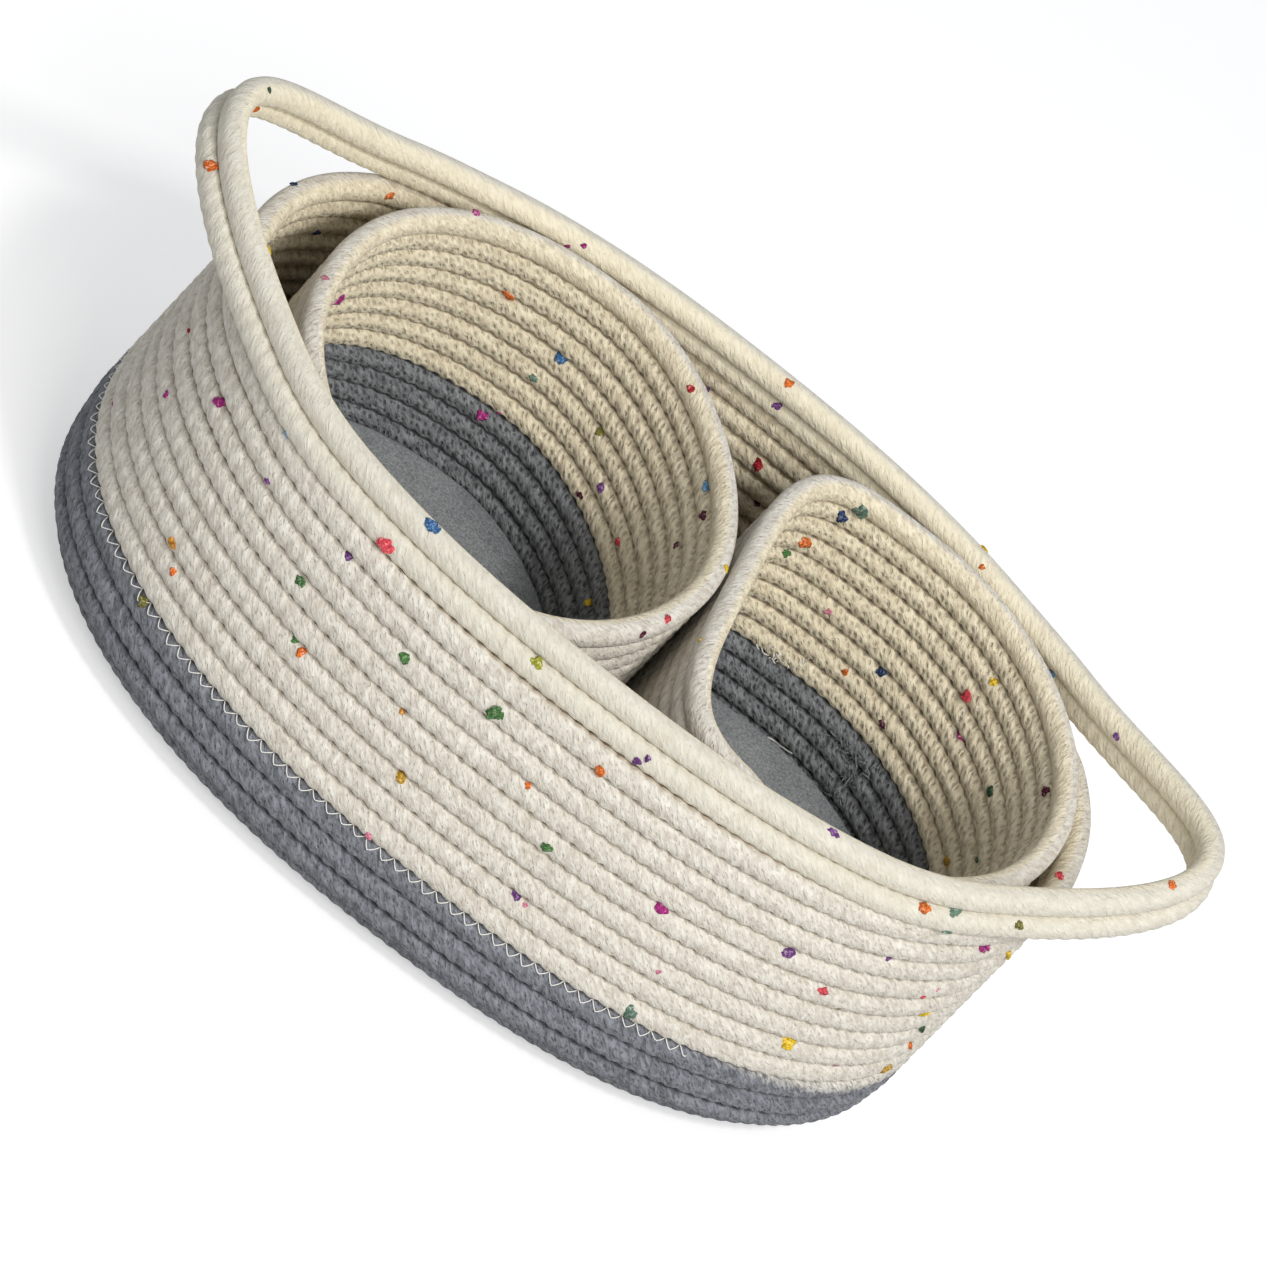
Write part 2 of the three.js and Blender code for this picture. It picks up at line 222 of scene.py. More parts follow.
SMALL_RIGHT = Basket(
    name="small_right", body="small_right_basket", centre_x=RIGHT_CENTRE_X,
    base_z=SMALL_BASE_Z, rim_z=129.0, rope=SMALL_ROPE, pitch=SMALL_PITCH,
    right_half=LARGE_HALF_LENGTH - WALL_TO_SMALL - 2.4 - abs(RIGHT_CENTRE_X), right_roundness=2.0,
    left_half=RIGHT_INNER_HALF, left_roundness=4.0,
    half_width=rim_half_width_at(RIGHT_CENTRE_X) - WALL_TO_SMALL - 4.4,
    length_flare=0.0, width_flare=0.0, bend_radius=12.0,
    lean=0.06, rises_to_handles=False, first_row=0, cream_loops=8.5, rows=15,
    loop_steps=14, climb_end_step=11,
)

# Camera of the photograph: millimetres and radians, the pixel scale is for a 1266 pixel frame
PHOTO_SIZE = 1266
PHOTO_FOCAL = 7576.67
CAMERA_DISTANCE = 2607.2
CAMERA_AZIMUTH = -0.1806
CAMERA_ELEVATION = 0.6358
CAMERA_ROLL = 0.7686
CAMERA_TARGET_Z = 54.0
FRAMING_RIGHT = 26.3
FRAMING_UP = 11.95
SENSOR_WIDTH = 36.0

# Lamps in metres: the key stands high at the front right, the fill lower at the front
KEY_PLACE = (0.71, -1.06, 1.98)
FILL_PLACE = (0.48, -1.70, 1.52)
LAMPS_AIM_AT = Vector((0.0, 0.0, 0.05))


# Colours

def linear(hex_colour):
    """Linear red, green, blue and alpha of an sRGB colour written as hex."""
    parts = [int(hex_colour[i:i + 2], 16) / 255 for i in (1, 3, 5)]
    return [p / 12.92 if p <= 0.04045 else ((p + 0.055) / 1.055) ** 2.4 for p in parts] + [1.0]


DYES = {
    "red": "#C22B3A", "coral": "#E4505A", "pink": "#E08AA0", "magenta": "#A8307C",
    "purple": "#7E4A8C", "maroon": "#5E1E38", "navy": "#2B3F66", "blue": "#3F6FA0",
    "light blue": "#6FA3CC", "green": "#548048", "dark green": "#3A5A40",
    "grey green": "#6E8A78", "olive": "#7F7A3A", "lime": "#B4B43C", "yellow": "#E8C22E",
    "mustard": "#C2962E", "orange": "#E8762C", "amber": "#E09A3C",
}


# Points of the walls

def oval_point(half_length, half_width, roundness, angle):
    """Points of an oval between an ellipse and a rounded rectangle."""
    along, over = np.cos(angle), np.sin(angle)
    x = half_length * np.sign(along) * np.abs(along) ** (2 / roundness)
    y = half_width * np.sign(over) * np.abs(over) ** (2 / roundness)
    return x, y


def rim_rise(x):
    """How far the rim rises at a place along X, towards the tip of the handle."""
    past_start = np.maximum(0, np.abs(x) - RISE_START_X)
    return HANDLE_RISE * (past_start / (HANDLE_REACH - RISE_START_X)) ** 2


def row_point(basket, angle, row):
    """Centre line of a row at an angle; the row may be a fraction between two rows."""
    distance = row * basket.pitch
    radius = basket.bend_radius
    bend_top = basket.base_z + SIDE_SHARE * basket.rope + TOUCH_GAP + radius
    straight = basket.rim_z - bend_top
    depth = np.minimum(distance, straight)
    turned = np.clip((distance - straight) / radius, 0, pi / 2)
    across = np.maximum(0, distance - straight - radius * pi / 2)
    inset = radius * (1 - np.cos(turned)) + across
    on_right = np.cos(angle) >= 0
    roundness = np.where(on_right, basket.right_roundness, basket.left_roundness)
    half_length = np.where(on_right, basket.right_half, basket.left_half)
    half_length = np.maximum(half_length + basket.length_flare * depth - inset, LEAST_HALF)
    half_width = np.maximum(basket.half_width + basket.width_flare * depth - inset, LEAST_HALF)
    x, y = oval_point(half_length, half_width, roundness, angle)
    z = basket.rim_z - depth - radius * np.sin(turned)
    z = z + basket.lean * y * (1 - depth / straight)
    if basket.rises_to_handles:
        fade = np.maximum(0, 1 - (row - RIM_ROWS + 1) / RISE_FADE_ROWS)
        z = z + rim_rise(np.minimum(np.abs(x), HANDLE_ROOT_X)) * fade
    return np.stack([basket.centre_x + x, y, z], axis=-1)


@dataclass
class Path:
    """Centre line of a rope with the directions up the wall and out of it, in millimetres."""

    points: np.ndarray
    up: np.ndarray
    out: np.ndarray
    length: np.ndarray


def unit(vectors):
    """The same directions with length 1."""
    return vectors / np.linalg.norm(vectors, axis=-1, keepdims=True)


def run_of(points):
    """Length along a line of points, from its start."""
    return np.concatenate([[0.0], np.cumsum(np.linalg.norm(np.diff(points, axis=0), axis=1))])


def even_path(points, up, start, end, spacing):
    """A path with evenly spaced points, between two lengths along a line of close points."""
    run = run_of(points)
    count = max(4, round((end - start) / spacing) + 1)
    wanted = np.linspace(start, end, count)
    line = np.stack([np.interp(wanted, run, points[:, axis]) for axis in range(3)], axis=-1)
    up = np.stack([np.interp(wanted, run, up[:, axis]) for axis in range(3)], axis=-1)
    along = unit(np.gradient(line, axis=0))
    up = unit(up - along * np.sum(up * along, axis=-1, keepdims=True))
    return Path(points=line, up=up, out=np.cross(along, up), length=wanted)


def winding_line(basket, first, last):
    """Close points of the winding between two steps, with the direction up the wall."""
    step = np.linspace(first, last, round((last - first) * STEP_SAMPLES) + 1)
    angle = 2 * pi * (step + basket.climb_end_step) / basket.loop_steps
    turn = step / basket.loop_steps
    climb = np.clip((turn - np.floor(turn)) * basket.loop_steps - (basket.loop_steps - 1), 0, 1)
    row = basket.first_row + np.floor(turn) + climb * climb * (3 - 2 * climb)
    up = row_point(basket, angle, row - 0.5) - row_point(basket, angle, row + 0.5)
    return row_point(basket, angle, row), unit(up), angle, row


def winding_path(basket, first, last, start_offset, end_offset):
    """Path of a rope between two steps, which may start or end a little past them."""
    points, up, _, _ = winding_line(basket, first, last + 1)
    run = run_of(points)
    end = run[round((last - first) * STEP_SAMPLES)] + end_offset
    return even_path(points, up, start_offset, end, RING_SPACING)


# Meshes

def mesh_of(bm, name, sharp_angle=None):
    """A smooth mesh of what was built; edges sharper than an angle in degrees stay sharp."""
    mesh = bpy.data.meshes.new(name)
    bm.to_mesh(mesh)
    bm.free()
    mesh.shade_smooth()
    if sharp_angle is not None:
        mesh.set_sharp_from_angle(angle=radians(sharp_angle))
    return mesh


def rope_reach(angle, half_width, half_height, squareness):
    """Distance from a rope's middle to its surface, flatter outside the basket than inside."""
    power = np.where(np.sin(angle) > 0, squareness[0], squareness[1])
    return (np.abs(np.sin(angle) / half_width) ** power
            + np.abs(np.cos(angle) / half_height) ** power) ** (-1 / power)


def set_corner_share(mesh, name, values):
    """Writes a value for each corner of a mesh under a name that materials read."""
    mesh.attributes.new(name, "FLOAT", "CORNER").data.foreach_set("value", values)


def stitch_pull(angle, run, sewn_above, sewn_below):
    """How far the stitches pull a rope in, as a share of their depth.

    They pull by turns above and below, where the rope is sewn to a row there, and deeper inside
    the basket, and they leave the rope a little twisted between them.
    """
    spread = 0.4
    stitch = np.cos(2 * pi * run / STITCH_PITCH)
    twist = 0.5 + 0.5 * np.cos(2 * pi * run / STITCH_PITCH - angle)
    above = np.exp((np.cos(angle) - 1) / spread) * (0.5 + 0.5 * stitch) ** 2
    below = np.exp((-np.cos(angle) - 1) / spread) * (0.5 - 0.5 * stitch) ** 2
    deeper_inside = 0.85 - 0.35 * np.sin(angle)
    return (deeper_inside * (above * sewn_above + below * sewn_below)
            + TWIST_SHARE * twist * sewn_above)


def map_rope(mesh, places, path, sewn_above, sewn_below, netted):
    """Maps a flat sheet in millimetres and writes how sewn and how full of holes it is.

    The map runs along the rope, and round it from the side that faces up the wall, over the
    outside.
    """
    spots = np.empty(2 * len(mesh.loops))
    mesh.uv_layers[ROPE_MAP].uv.foreach_get("vector", spots)
    spots = spots.reshape(-1, 2)
    place = places[np.rint(spots[:, 0] * (len(places) - 1)).astype(int)]
    upper = np.cos(2 * pi * spots[:, 1]) > 0
    set_corner_share(mesh, SEWN, np.where(upper, sewn_above[place], sewn_below[place]))
    set_corner_share(mesh, NETTED, netted[place])
    spots[:, 0] = path.length[place]
    spots[:, 1] = spots[:, 1] * ROPE_ROUND
    # The new attributes have moved the map, so it is asked for again
    mesh.uv_layers[ROPE_MAP].uv.foreach_set("vector", spots.ravel())


def rolled_rope(name, path, half_width, half_height, sides, squareness, pull=0.0,
                sewn=(1.0, 1.0), netted=1.0, flat_ends=False):
    """One closed rope: a flat sheet of faces is rolled round the path and sewn up.

    It may be sewn to a row above and one below, and stitch holes show on its inner side as far
    as netted. Its ends are flat, or else rounded.
    """
    sewn_above, sewn_below, netted = (
        np.broadcast_to(share, path.length.shape).astype(float) for share in (*sewn, netted))
    places = np.arange(len(path.points))
    if flat_ends:
        places = np.concatenate([[0], places, [len(path.points) - 1]])
    rings = len(places)
    sheet = bmesh.new()
    sheet.loops.layers.uv.new(ROPE_MAP)
    bmesh.ops.create_grid(sheet, x_segments=rings - 1, y_segments=sides, size=1.0, calc_uvs=True)
    mesh = mesh_of(sheet, name)

    flat = np.empty(3 * len(mesh.vertices))
    mesh.vertices.foreach_get("co", flat)
    flat = flat.reshape(-1, 3)
    ring = np.rint((flat[:, 0] + 1) / 2 * (rings - 1)).astype(int)
    angle = 2 * pi * (flat[:, 1] + 1) / 2
    place = places[ring]

    run = path.length[place]
    pulled = pull * stitch_pull(angle, run, sewn_above[place], sewn_below[place])
    reach = rope_reach(angle, half_width, half_height, squareness) - pulled
    if flat_ends:
        reach = reach * ((ring > 0) & (ring < rings - 1))
    else:
        from_end = np.minimum(run - path.length[0], path.length[-1] - run)
        round_length = half_width * 0.8
        reach = reach * np.sqrt(1 - (1 - np.minimum(from_end / round_length, 1)) ** 2)
    points = (path.points[place] + path.out[place] * (reach * np.sin(angle))[:, None]
              + path.up[place] * (reach * np.cos(angle))[:, None])
    mesh.vertices.foreach_set("co", (points * MM).ravel())
    map_rope(mesh, places, path, sewn_above, sewn_below, netted)

    rolled = bmesh.new()
    rolled.from_mesh(mesh)
    bmesh.ops.remove_doubles(rolled, verts=rolled.verts, dist=0.001 * MM)
    bmesh.ops.recalc_face_normals(rolled, faces=rolled.faces)
    bpy.data.meshes.remove(mesh)
    return mesh_of(rolled, name, 55 if flat_ends else None)


def add_piece(name, meshes, material, body=None, nodes=()):
    """One object of the joined meshes, which stands for CAD nodes and may ride on a body."""
    joined = bmesh.new()
    for mesh in meshes:
        joined.from_mesh(mesh)
    whole = mesh_of(joined, name)
    for mesh in meshes:
        bpy.data.meshes.remove(mesh)
    piece = bpy.data.objects.new(name, whole)
    bpy.context.scene.collection.objects.link(piece)
    whole.materials.append(material)
    if nodes:
        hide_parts(*nodes)
    if body:
        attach(piece, body)
    return piece


# Materials

# Cotton has hardly any gloss
COTTON_GLOSS = 0.2


def add_node(tree, kind, inputs=None, out=0, **settings):
    """Adds a node, sets its properties, fills its inputs, and returns one of its outputs."""
    node = tree.nodes.new(f"ShaderNode{kind}")
    for name, value in settings.items():
        setattr(node, name, value)
    for key, value in (inputs or {}).items():
        if isinstance(value, bpy.types.NodeSocket):
            tree.links.new(value, node.inputs[key])
        else:
            node.inputs[key].default_value = value
    return node.outputs[out] if node.outputs else None


def new_material(name):
    """An empty material, and add_node for its node tree."""
    material = bpy.data.materials.new(name)
    material.use_nodes = True
    material.node_tree.nodes.clear()
    return material, partial(add_node, material.node_tree)


def rope_material(name, colours, hole_share, pit_share, groove_shade_share, fuzz, undyed=None):
    """Sewn cotton rope: a soft core in a sleeve of twisted yarn.

    The eye sees slanted fibres, a net of stitch holes with raised yarn between them on the side
    that faces into the basket, with painted shade in the holes and pits, and painted shade along
    a broken line where rows meet. The inner side is painted warmer as bounce light. It is quite
    matt, with a little fuzz.
    """
    material, add = new_material(name)
    # outer and inner are painted light: a dimmed outer side and painted bounce light inside; the
    # groove and pore colours are painted shade
    light, shade, outer, inner, groove_painted_shade, pore_painted_shade = colours
    # Sizes in millimetres, along the rope and round it, or round it alone
    fibre_size, fibre_slant = (2.0, 3.4), 0.75
    patch_size = (9.0, 7.0)
    pit_size = (1.1, 1.5)
    hole_pitch, hole_line_pitch = STITCH_PITCH / 2, ROPE_ROUND / 6
    inner_side, inner_edge = 5.5, 7.6
    groove_edge, groove_width = ROPE_ROUND / 4 - 0.4, 0.9
    pore_depth = 0.9

    place = add("UVMap", uv_map=ROPE_MAP)
    along, around, _ = add("SeparateXYZ", {0: place}).node.outputs
    slant = add("Math", {0: around, 1: -fibre_slant, 2: along}, operation="MULTIPLY_ADD")
    slanted = add("CombineXYZ", {"X": slant, "Y": around})

    # Slanted fibres, soft patches of a rope's width, and pits of a millimetre
    noises = []
    for vector, (width, length), look in (
            (slanted, fibre_size, {"Detail": 3.0, "Roughness": 0.65, "Distortion": 0.5}),
            (place, patch_size, {"Detail": 2.0}),
            (slanted, pit_size, {"Detail": 1.0})):
        scaled = add("Mapping", {"Vector": vector, "Scale": (1 / width, 1 / length, 1.0)})
        noises.append(add("TexNoise", {"Vector": scaled, "Scale": 1.0, **look}))
    fibre, patch, pit = noises

    # Holes between the twisted yarns on the side that faces in: two to a stitch in each of six
    # lines round the rope, and each line shifted by half a pitch
    from_inside = add("Math", {0: around, 1: 0.75 * ROPE_ROUND}, operation="SUBTRACT")
    off_inside = add("Math", {0: from_inside}, operation="ABSOLUTE")
    inside = add("MapRange", {
        "Value": off_inside, "From Min": inner_side, "From Max": inner_edge, "To Min": 1.0,
        "To Max": 0.0})
    netted = add("Attribute", out="Fac", attribute_name=NETTED)
    net_share = add("Math", {0: inside, 1: netted}, operation="MULTIPLY")
    shifted = add("Math", {0: around, 1: -hole_pitch / 2 / hole_line_pitch, 2: along},
                  operation="MULTIPLY_ADD")
    net_place = add("CombineXYZ", {"X": shifted, "Y": around})
    net = add("Mapping", {"Vector": net_place, "Scale": (1 / hole_pitch, 1 / hole_line_pitch, 1.0)})
    from_hole = add("TexVoronoi", {"Vector": net, "Scale": 1.0, "Randomness": 0.6},
                    voronoi_dimensions="2D")
    ragged = add("Math", {0: fibre, 1: 0.22, 2: from_hole}, operation="MULTIPLY_ADD")
    hole = add("MapRange", {
        "Value": ragged, "From Min": 0.33, "From Max": 0.22, "To Max": hole_share})
    between = add("MapRange", {"Value": from_hole, "From Min": 0.05, "From Max": 0.5})
    holes, yarn = [add("Math", {0: part, 1: net_share}, operation="MULTIPLY")
                   for part in (hole, between)]
    # Pits and stitch holes get painted shade in the colour, and are also sunk in the bump
    pits = add("MapRange", {"Value": pit, "From Min": 0.42, "From Max": 0.27, "To Max": pit_share})
    pores = add("Math", {0: holes, 1: pits}, operation="MAXIMUM")

    # Painted shade along an uneven line where rows meet, above and below, darkest at the stitches
    half_turn = add("Math", {0: around, 1: ROPE_ROUND / 2}, operation="MODULO")
    from_middle = add("Math", {0: half_turn, 1: ROPE_ROUND / 4}, operation="SUBTRACT")
    off_middle = add("Math", {0: from_middle}, operation="ABSOLUTE")
    uneven = add("Math", {0: pit, 1: 1.4, 2: off_middle}, operation="MULTIPLY_ADD")
    line = add("MapRange", {
        "Value": uneven, "From Min": groove_edge - groove_width, "From Max": groove_edge,
        "To Max": groove_shade_share})
    stitch_place = add("Math", {0: around, 1: -STITCH_PITCH / ROPE_ROUND, 2: along},
                       operation="MULTIPLY_ADD")
    phase = add("Math", {0: stitch_place, 1: 2 * pi / STITCH_PITCH}, operation="MULTIPLY")
    wave = add("Math", {0: phase}, operation="COSINE")
    dash = add("MapRange", {"Value": wave, "From Min": -1.0, "To Min": 0.5})
    sewn = add("Attribute", out="Fac", attribute_name=SEWN)
    dash = add("Math", {0: dash, 1: sewn}, operation="MULTIPLY")
    line = add("Math", {0: line, 1: dash}, operation="MULTIPLY")

    # Colour: fibres, then painted light by side (the outer side a little dimmed, the inner side
    # painted warmer and brighter as bounce light), then painted shade in pores and along grooves,
    # then undyed fibres
    spread = add("Math", {0: patch, 1: 0.35, 2: fibre}, operation="MULTIPLY_ADD")
    shaded = add("MapRange", {"Value": spread, "From Min": 0.5, "From Max": 0.82})
    cloth = add("Mix", {0: shaded, 6: shade, 7: light}, out=2, data_type="RGBA")
    # Painted bounce light: the side that faces into the basket is painted warmer and brighter than
    # the outer side
    tint = add("Mix", {0: inside, 6: outer, 7: inner}, out=2, data_type="RGBA")
    cloth = add("Mix", {0: 1.0, 6: cloth, 7: tint}, out=2, data_type="RGBA", blend_type="MULTIPLY")
    # Painted shade in pores and holes, and painted shade along the grooves
    layers = [(pores, pore_painted_shade), (line, groove_painted_shade)]
    if undyed:
        bare = add("Attribute", out="Fac", attribute_name=UNDYED)
        fringe = add("Math", {0: fibre, 1: 0.9, 2: bare}, operation="MULTIPLY_ADD")
        fringe = add("MapRange", {"Value": fringe, "From Min": 0.65, "From Max": 1.25})
        plain = add("Mix", {0: shaded, 6: linear(undyed[1]), 7: linear(undyed[0])}, out=2,
                    data_type="RGBA")
        layers.append((fringe, plain))
    for share, colour in layers:
        cloth = add("Mix", {0: share, 6: cloth, 7: colour}, out=2, data_type="RGBA")

    # Surface: pores are sunk, yarn stands out
    height = add("Math", {0: pores, 1: -1.0, 2: fibre}, operation="MULTIPLY_ADD")
    height = add("Math", {0: yarn, 1: 0.65, 2: height}, operation="MULTIPLY_ADD")
    bump = add("Bump", {"Height": height, "Strength": 1.0, "Distance": pore_depth * MM})
    surface = add("BsdfPrincipled", {
        "Base Color": cloth, "Normal": bump, "Roughness": 0.92, "Specular IOR Level": COTTON_GLOSS,
        "Sheen Weight": fuzz, "Sheen Roughness": 0.6})
    add("OutputMaterial", {"Surface": surface})
    return material


def felt_material(name, light, shade):
    """Dyed cotton pressed flat, like felt: short fibres in every direction, speckled and matt."""
    material, add = new_material(name)
    fibre_size, patch_size = 0.9, 22.0
    place = add("TexCoord", out="Object")
    fibres = add("TexNoise", {
        "Vector": place, "Scale": 1 / (fibre_size * MM), "Detail": 4.0, "Roughness": 0.7,
        "Distortion": 0.6})
    patches = add("TexNoise", {"Vector": place, "Scale": 1 / (patch_size * MM), "Detail": 2.0})
    spread = add("Math", {0: patches, 1: 0.25, 2: fibres}, operation="MULTIPLY_ADD")
    shaded = add("MapRange", {"Value": spread, "From Min": 0.45, "From Max": 0.8})
    cloth = add("Mix", {0: shaded, 6: shade, 7: light}, out=2, data_type="RGBA")
    bump = add("Bump", {"Height": fibres, "Strength": 0.7, "Distance": 0.4 * MM})
    surface = add("BsdfPrincipled", {
        "Base Color": cloth, "Normal": bump, "Roughness": 0.95, "Specular IOR Level": COTTON_GLOSS,
        "Sheen Weight": 0.15})
    add("OutputMaterial", {"Surface": surface})
    return material


def thread_material(name, light, shade):
    """Cotton sewing thread and loose fibres: fine, twisted, a little brighter than the rope."""
    material, add = new_material(name)
    twist_size = 0.7
    place = add("TexCoord", out="Object")
    twist = add("TexNoise", {"Vector": place, "Scale": 1 / (twist_size * MM), "Detail": 2.0})
    cloth = add("Mix", {0: twist, 6: shade, 7: light}, out=2, data_type="RGBA")
    surface = add("BsdfPrincipled", {
        "Base Color": cloth, "Roughness": 0.85, "Specular IOR Level": COTTON_GLOSS})
    add("OutputMaterial", {"Surface": surface})
    return material


def slub_material(name, cotton):
    """Dyed tufts of cotton spun into the rope: soft, uneven little knots of bright fibre.

    Each knot has its own dye, with darker hollows and some undyed fibre between.
    """
    material, add = new_material(name)
    fibre_size = 1.1
    dye = add("Attribute", out="Color", attribute_name=DYE)
    place = add("TexCoord", out="Object")
    fibres = add("TexNoise", {
        "Vector": place, "Scale": 1 / (fibre_size * MM), "Detail": 3.0, "Distortion": 1.0})
    hollows = add("MapRange", {
        "Value": fibres, "From Min": 0.35, "From Max": 0.7, "To Min": 0.5, "To Max": 1.25})
    dyed = add("VectorMath", {0: dye, 1: hollows}, operation="MULTIPLY")
    pale = add("MapRange", {"Value": fibres, "From Min": 0.55, "From Max": 0.75, "To Max": 0.45})
    cloth = add("Mix", {0: pale, 6: dyed, 7: cotton}, out=2, data_type="RGBA")
    bump = add("Bump", {"Height": fibres, "Strength": 0.7, "Distance": 0.4 * MM})
    surface = add("BsdfPrincipled", {
        "Base Color": cloth, "Normal": bump, "Roughness": 0.9, "Specular IOR Level": COTTON_GLOSS})
    add("OutputMaterial", {"Surface": surface})
    return material


def kept_material(name, maker, *values):
    """The material of that name, made the first time it is asked for."""
    return bpy.data.materials.get(name) or maker(name, *values)


# Ropes by kind: the material's name, the painted light of the outer and the inner side (the
# outer side dimmed, painted bounce light inside), the painted shade of grooves and holes, and
# how far the painted shade of holes, pits and grooves and the fuzz show
ROPES = {
    "cream": ("undyed_cotton_rope", ("#F0EFED", "#FFF8E4", "#C6B7A1", "#B0A487"),
              {"hole_share": 0.42, "pit_share": 0.3, "groove_shade_share": 0.9, "fuzz": 0.1}),
    "rim": ("undyed_cotton_rope_smooth", ("#EEEDEA", "#FFFAEC", "#B9A78F", "#C6BCA0"),
            {"hole_share": 0.4, "pit_share": 0.15, "groove_shade_share": 0.0, "fuzz": 0.12}),
    "grey": ("grey_dyed_cotton_rope", ("#ECECED", "#F6F6F0", "#434449", "#3C3D41"),
             {"hole_share": 0.7, "pit_share": 0.55, "groove_shade_share": 0.7, "fuzz": 0.08,
              "undyed": ("#EBE5D8", "#C9C1B3")}),
}


def rope_cotton(look, kind):
    """The material of a kind of rope, in the colours of the settings."""
    name, tints, shares = ROPES[kind]
    colours = [list(getattr(look, f"{kind}_{tone}")) for tone in ("light", "shade")]
    colours += [linear(tint) for tint in tints]
    return kept_material(name, partial(rope_material, **shares), colours)


def white_thread(look):
    """The material of the sewing thread."""
    return kept_material("white_cotton_thread", thread_material, list(look.thread_colour),
                         linear("#DEDACF"))


# Ropes of the baskets

def wall_section(basket):
    """Half width and half height of the rope in a basket's wall."""
    return 0.5 * basket.rope, 0.5 * basket.pitch + WALL_PRESS


def wall_ropes(basket, look):
    """The cream rope and the grey rope of a basket's wall."""
    colour_step = round(basket.cream_loops * basket.loop_steps)
    last_step = basket.rows * basket.loop_steps - 1
    cream = winding_path(basket, 0, colour_step, 0, STRAIGHT_END)
    grey = winding_path(basket, colour_step, last_step, STRAIGHT_END + TOUCH_GAP, 0)
    half_width, half_height = wall_section(basket)
    roll = partial(rolled_rope, half_width=half_width, half_height=half_height, sides=14,
                   squareness=WALL_SHAPE, pull=look.stitch_depth / MM)

    # The first loop is smooth inside, and bare above but where the large rim lies on it
    covered = (np.abs(cream.points[:, 0]) < HANDLE_ROOT_X) & (basket is LARGE)
    below_first = cream.length > run_of(winding_line(basket, 0, basket.loop_steps)[0])[-1]
    net = LARGE_NET if basket is LARGE else 1.0
    name = f"{basket.name}_cream_rope"
    mesh = roll(name, cream, sewn=(covered | below_first, 1.0),
                netted=np.where(below_first, net, FIRST_LOOP_NET))
    add_piece(name, [mesh], rope_cotton(look, "cream"), basket.body,
              [f"{basket.name}_cream_coil"])

    name = f"{basket.name}_grey_rope"
    mesh = roll(name, grey)
    set_corner_share(mesh, UNDYED, undyed_share(basket, grey, mesh))
    add_piece(name, [mesh], rope_cotton(look, "grey"), basket.body,
              [f"{basket.name}_grey_coil"])


def nearest_run(path, pixel, end):
    """Length along a path, before its end, at which its near side passes nearest to a pixel."""
    start, direction = photo_ray(*pixel)
    from_start = path.points * MM - np.array(start)
    off_ray = np.linalg.norm(np.cross(from_start, np.array(direction)), axis=1)
    seen = (path.points[:, 1] < 0) & (path.length < end)
    return path.length[np.argmin(np.where(seen, off_ray, np.inf))]


def first_grey_loop(basket):
    """Close points of the first grey loop, which lies under the last cream one."""
    colour_step = round(basket.cream_loops * basket.loop_steps)
    return winding_line(basket, colour_step, colour_step + basket.loop_steps)[:2]


def undyed_share(basket, path, mesh):
    """How bare of dye each corner of a grey rope is.

    On the large basket the dye thins out along the photographed side, at the upper edge of the
    first grey row, and comes back where that loop ends.
    """
    spots = np.empty(2 * len(mesh.loops))
    mesh.uv_layers[ROPE_MAP].uv.foreach_get("vector", spots)
    run, around = spots[0::2], spots[1::2]
    if basket is not LARGE:
        return np.zeros(len(run))
    loop_length = run_of(first_grey_loop(basket)[0])[-1]
    starts, ends = [nearest_run(path, pixel, loop_length)
                    for pixel in (DYE_THINS_AT, DYE_THINNEST_AT)]
    # The dye's soft edge comes down the rope, whose upper edge is at a height of 1
    edge_start, edge_fall, softness = 1.7, 1.9, 1.7
    returns_over = 12.0
    height = np.cos(2 * pi * around / ROPE_ROUND)
    edge = edge_start - edge_fall * np.clip((run - starts) / (ends - starts), 0, 1)
    share = np.clip((height - edge) / softness + 0.5, 0, 1)
    return share * (run > starts) * np.clip((loop_length - run) / returns_over, 0, 1)


def floor_rope(basket):
    """The grey rope goes on across the floor as a flat spiral, to its middle.

    Over a few rows the spiral turns into an oval with two like ends.
    """
    middle_left_open, rows_to_even_oval = 0.45, 3
    last_row = basket.first_row + basket.rows - 1
    first = basket.rows * basket.loop_steps - 1
    right, back, left = (row_point(basket, angle, float(last_row)) for angle in (0.0, pi / 2, pi))
    middle, half_length, half_width = (right[0] + left[0]) / 2, (right[0] - left[0]) / 2, back[1]
    loops = (min(half_width, half_length) - middle_left_open * basket.rope) / basket.pitch
    points, up, angle, row = winding_line(basket, first, first + round(loops * basket.loop_steps))
    inset = (row - last_row) * basket.pitch
    x, y = oval_point(np.maximum(half_length - inset, LEAST_HALF),
                      np.maximum(half_width - inset, LEAST_HALF), basket.right_roundness, angle)
    even_oval = np.stack([middle + x, y, points[:, 2]], axis=-1)
    share = np.clip((row - last_row) / rows_to_even_oval, 0, 1)[:, None]
    points = points * (1 - share) + even_oval * share
    path = even_path(points, up, TOUCH_GAP, run_of(points)[-1], FLOOR_RING_SPACING)
    return rolled_rope(f"{basket.name}_floor_rope", path, 0.5 * basket.rope,
                       0.5 * basket.pitch + FLOOR_PRESS, sides=10, squareness=FLOOR_SHAPE)


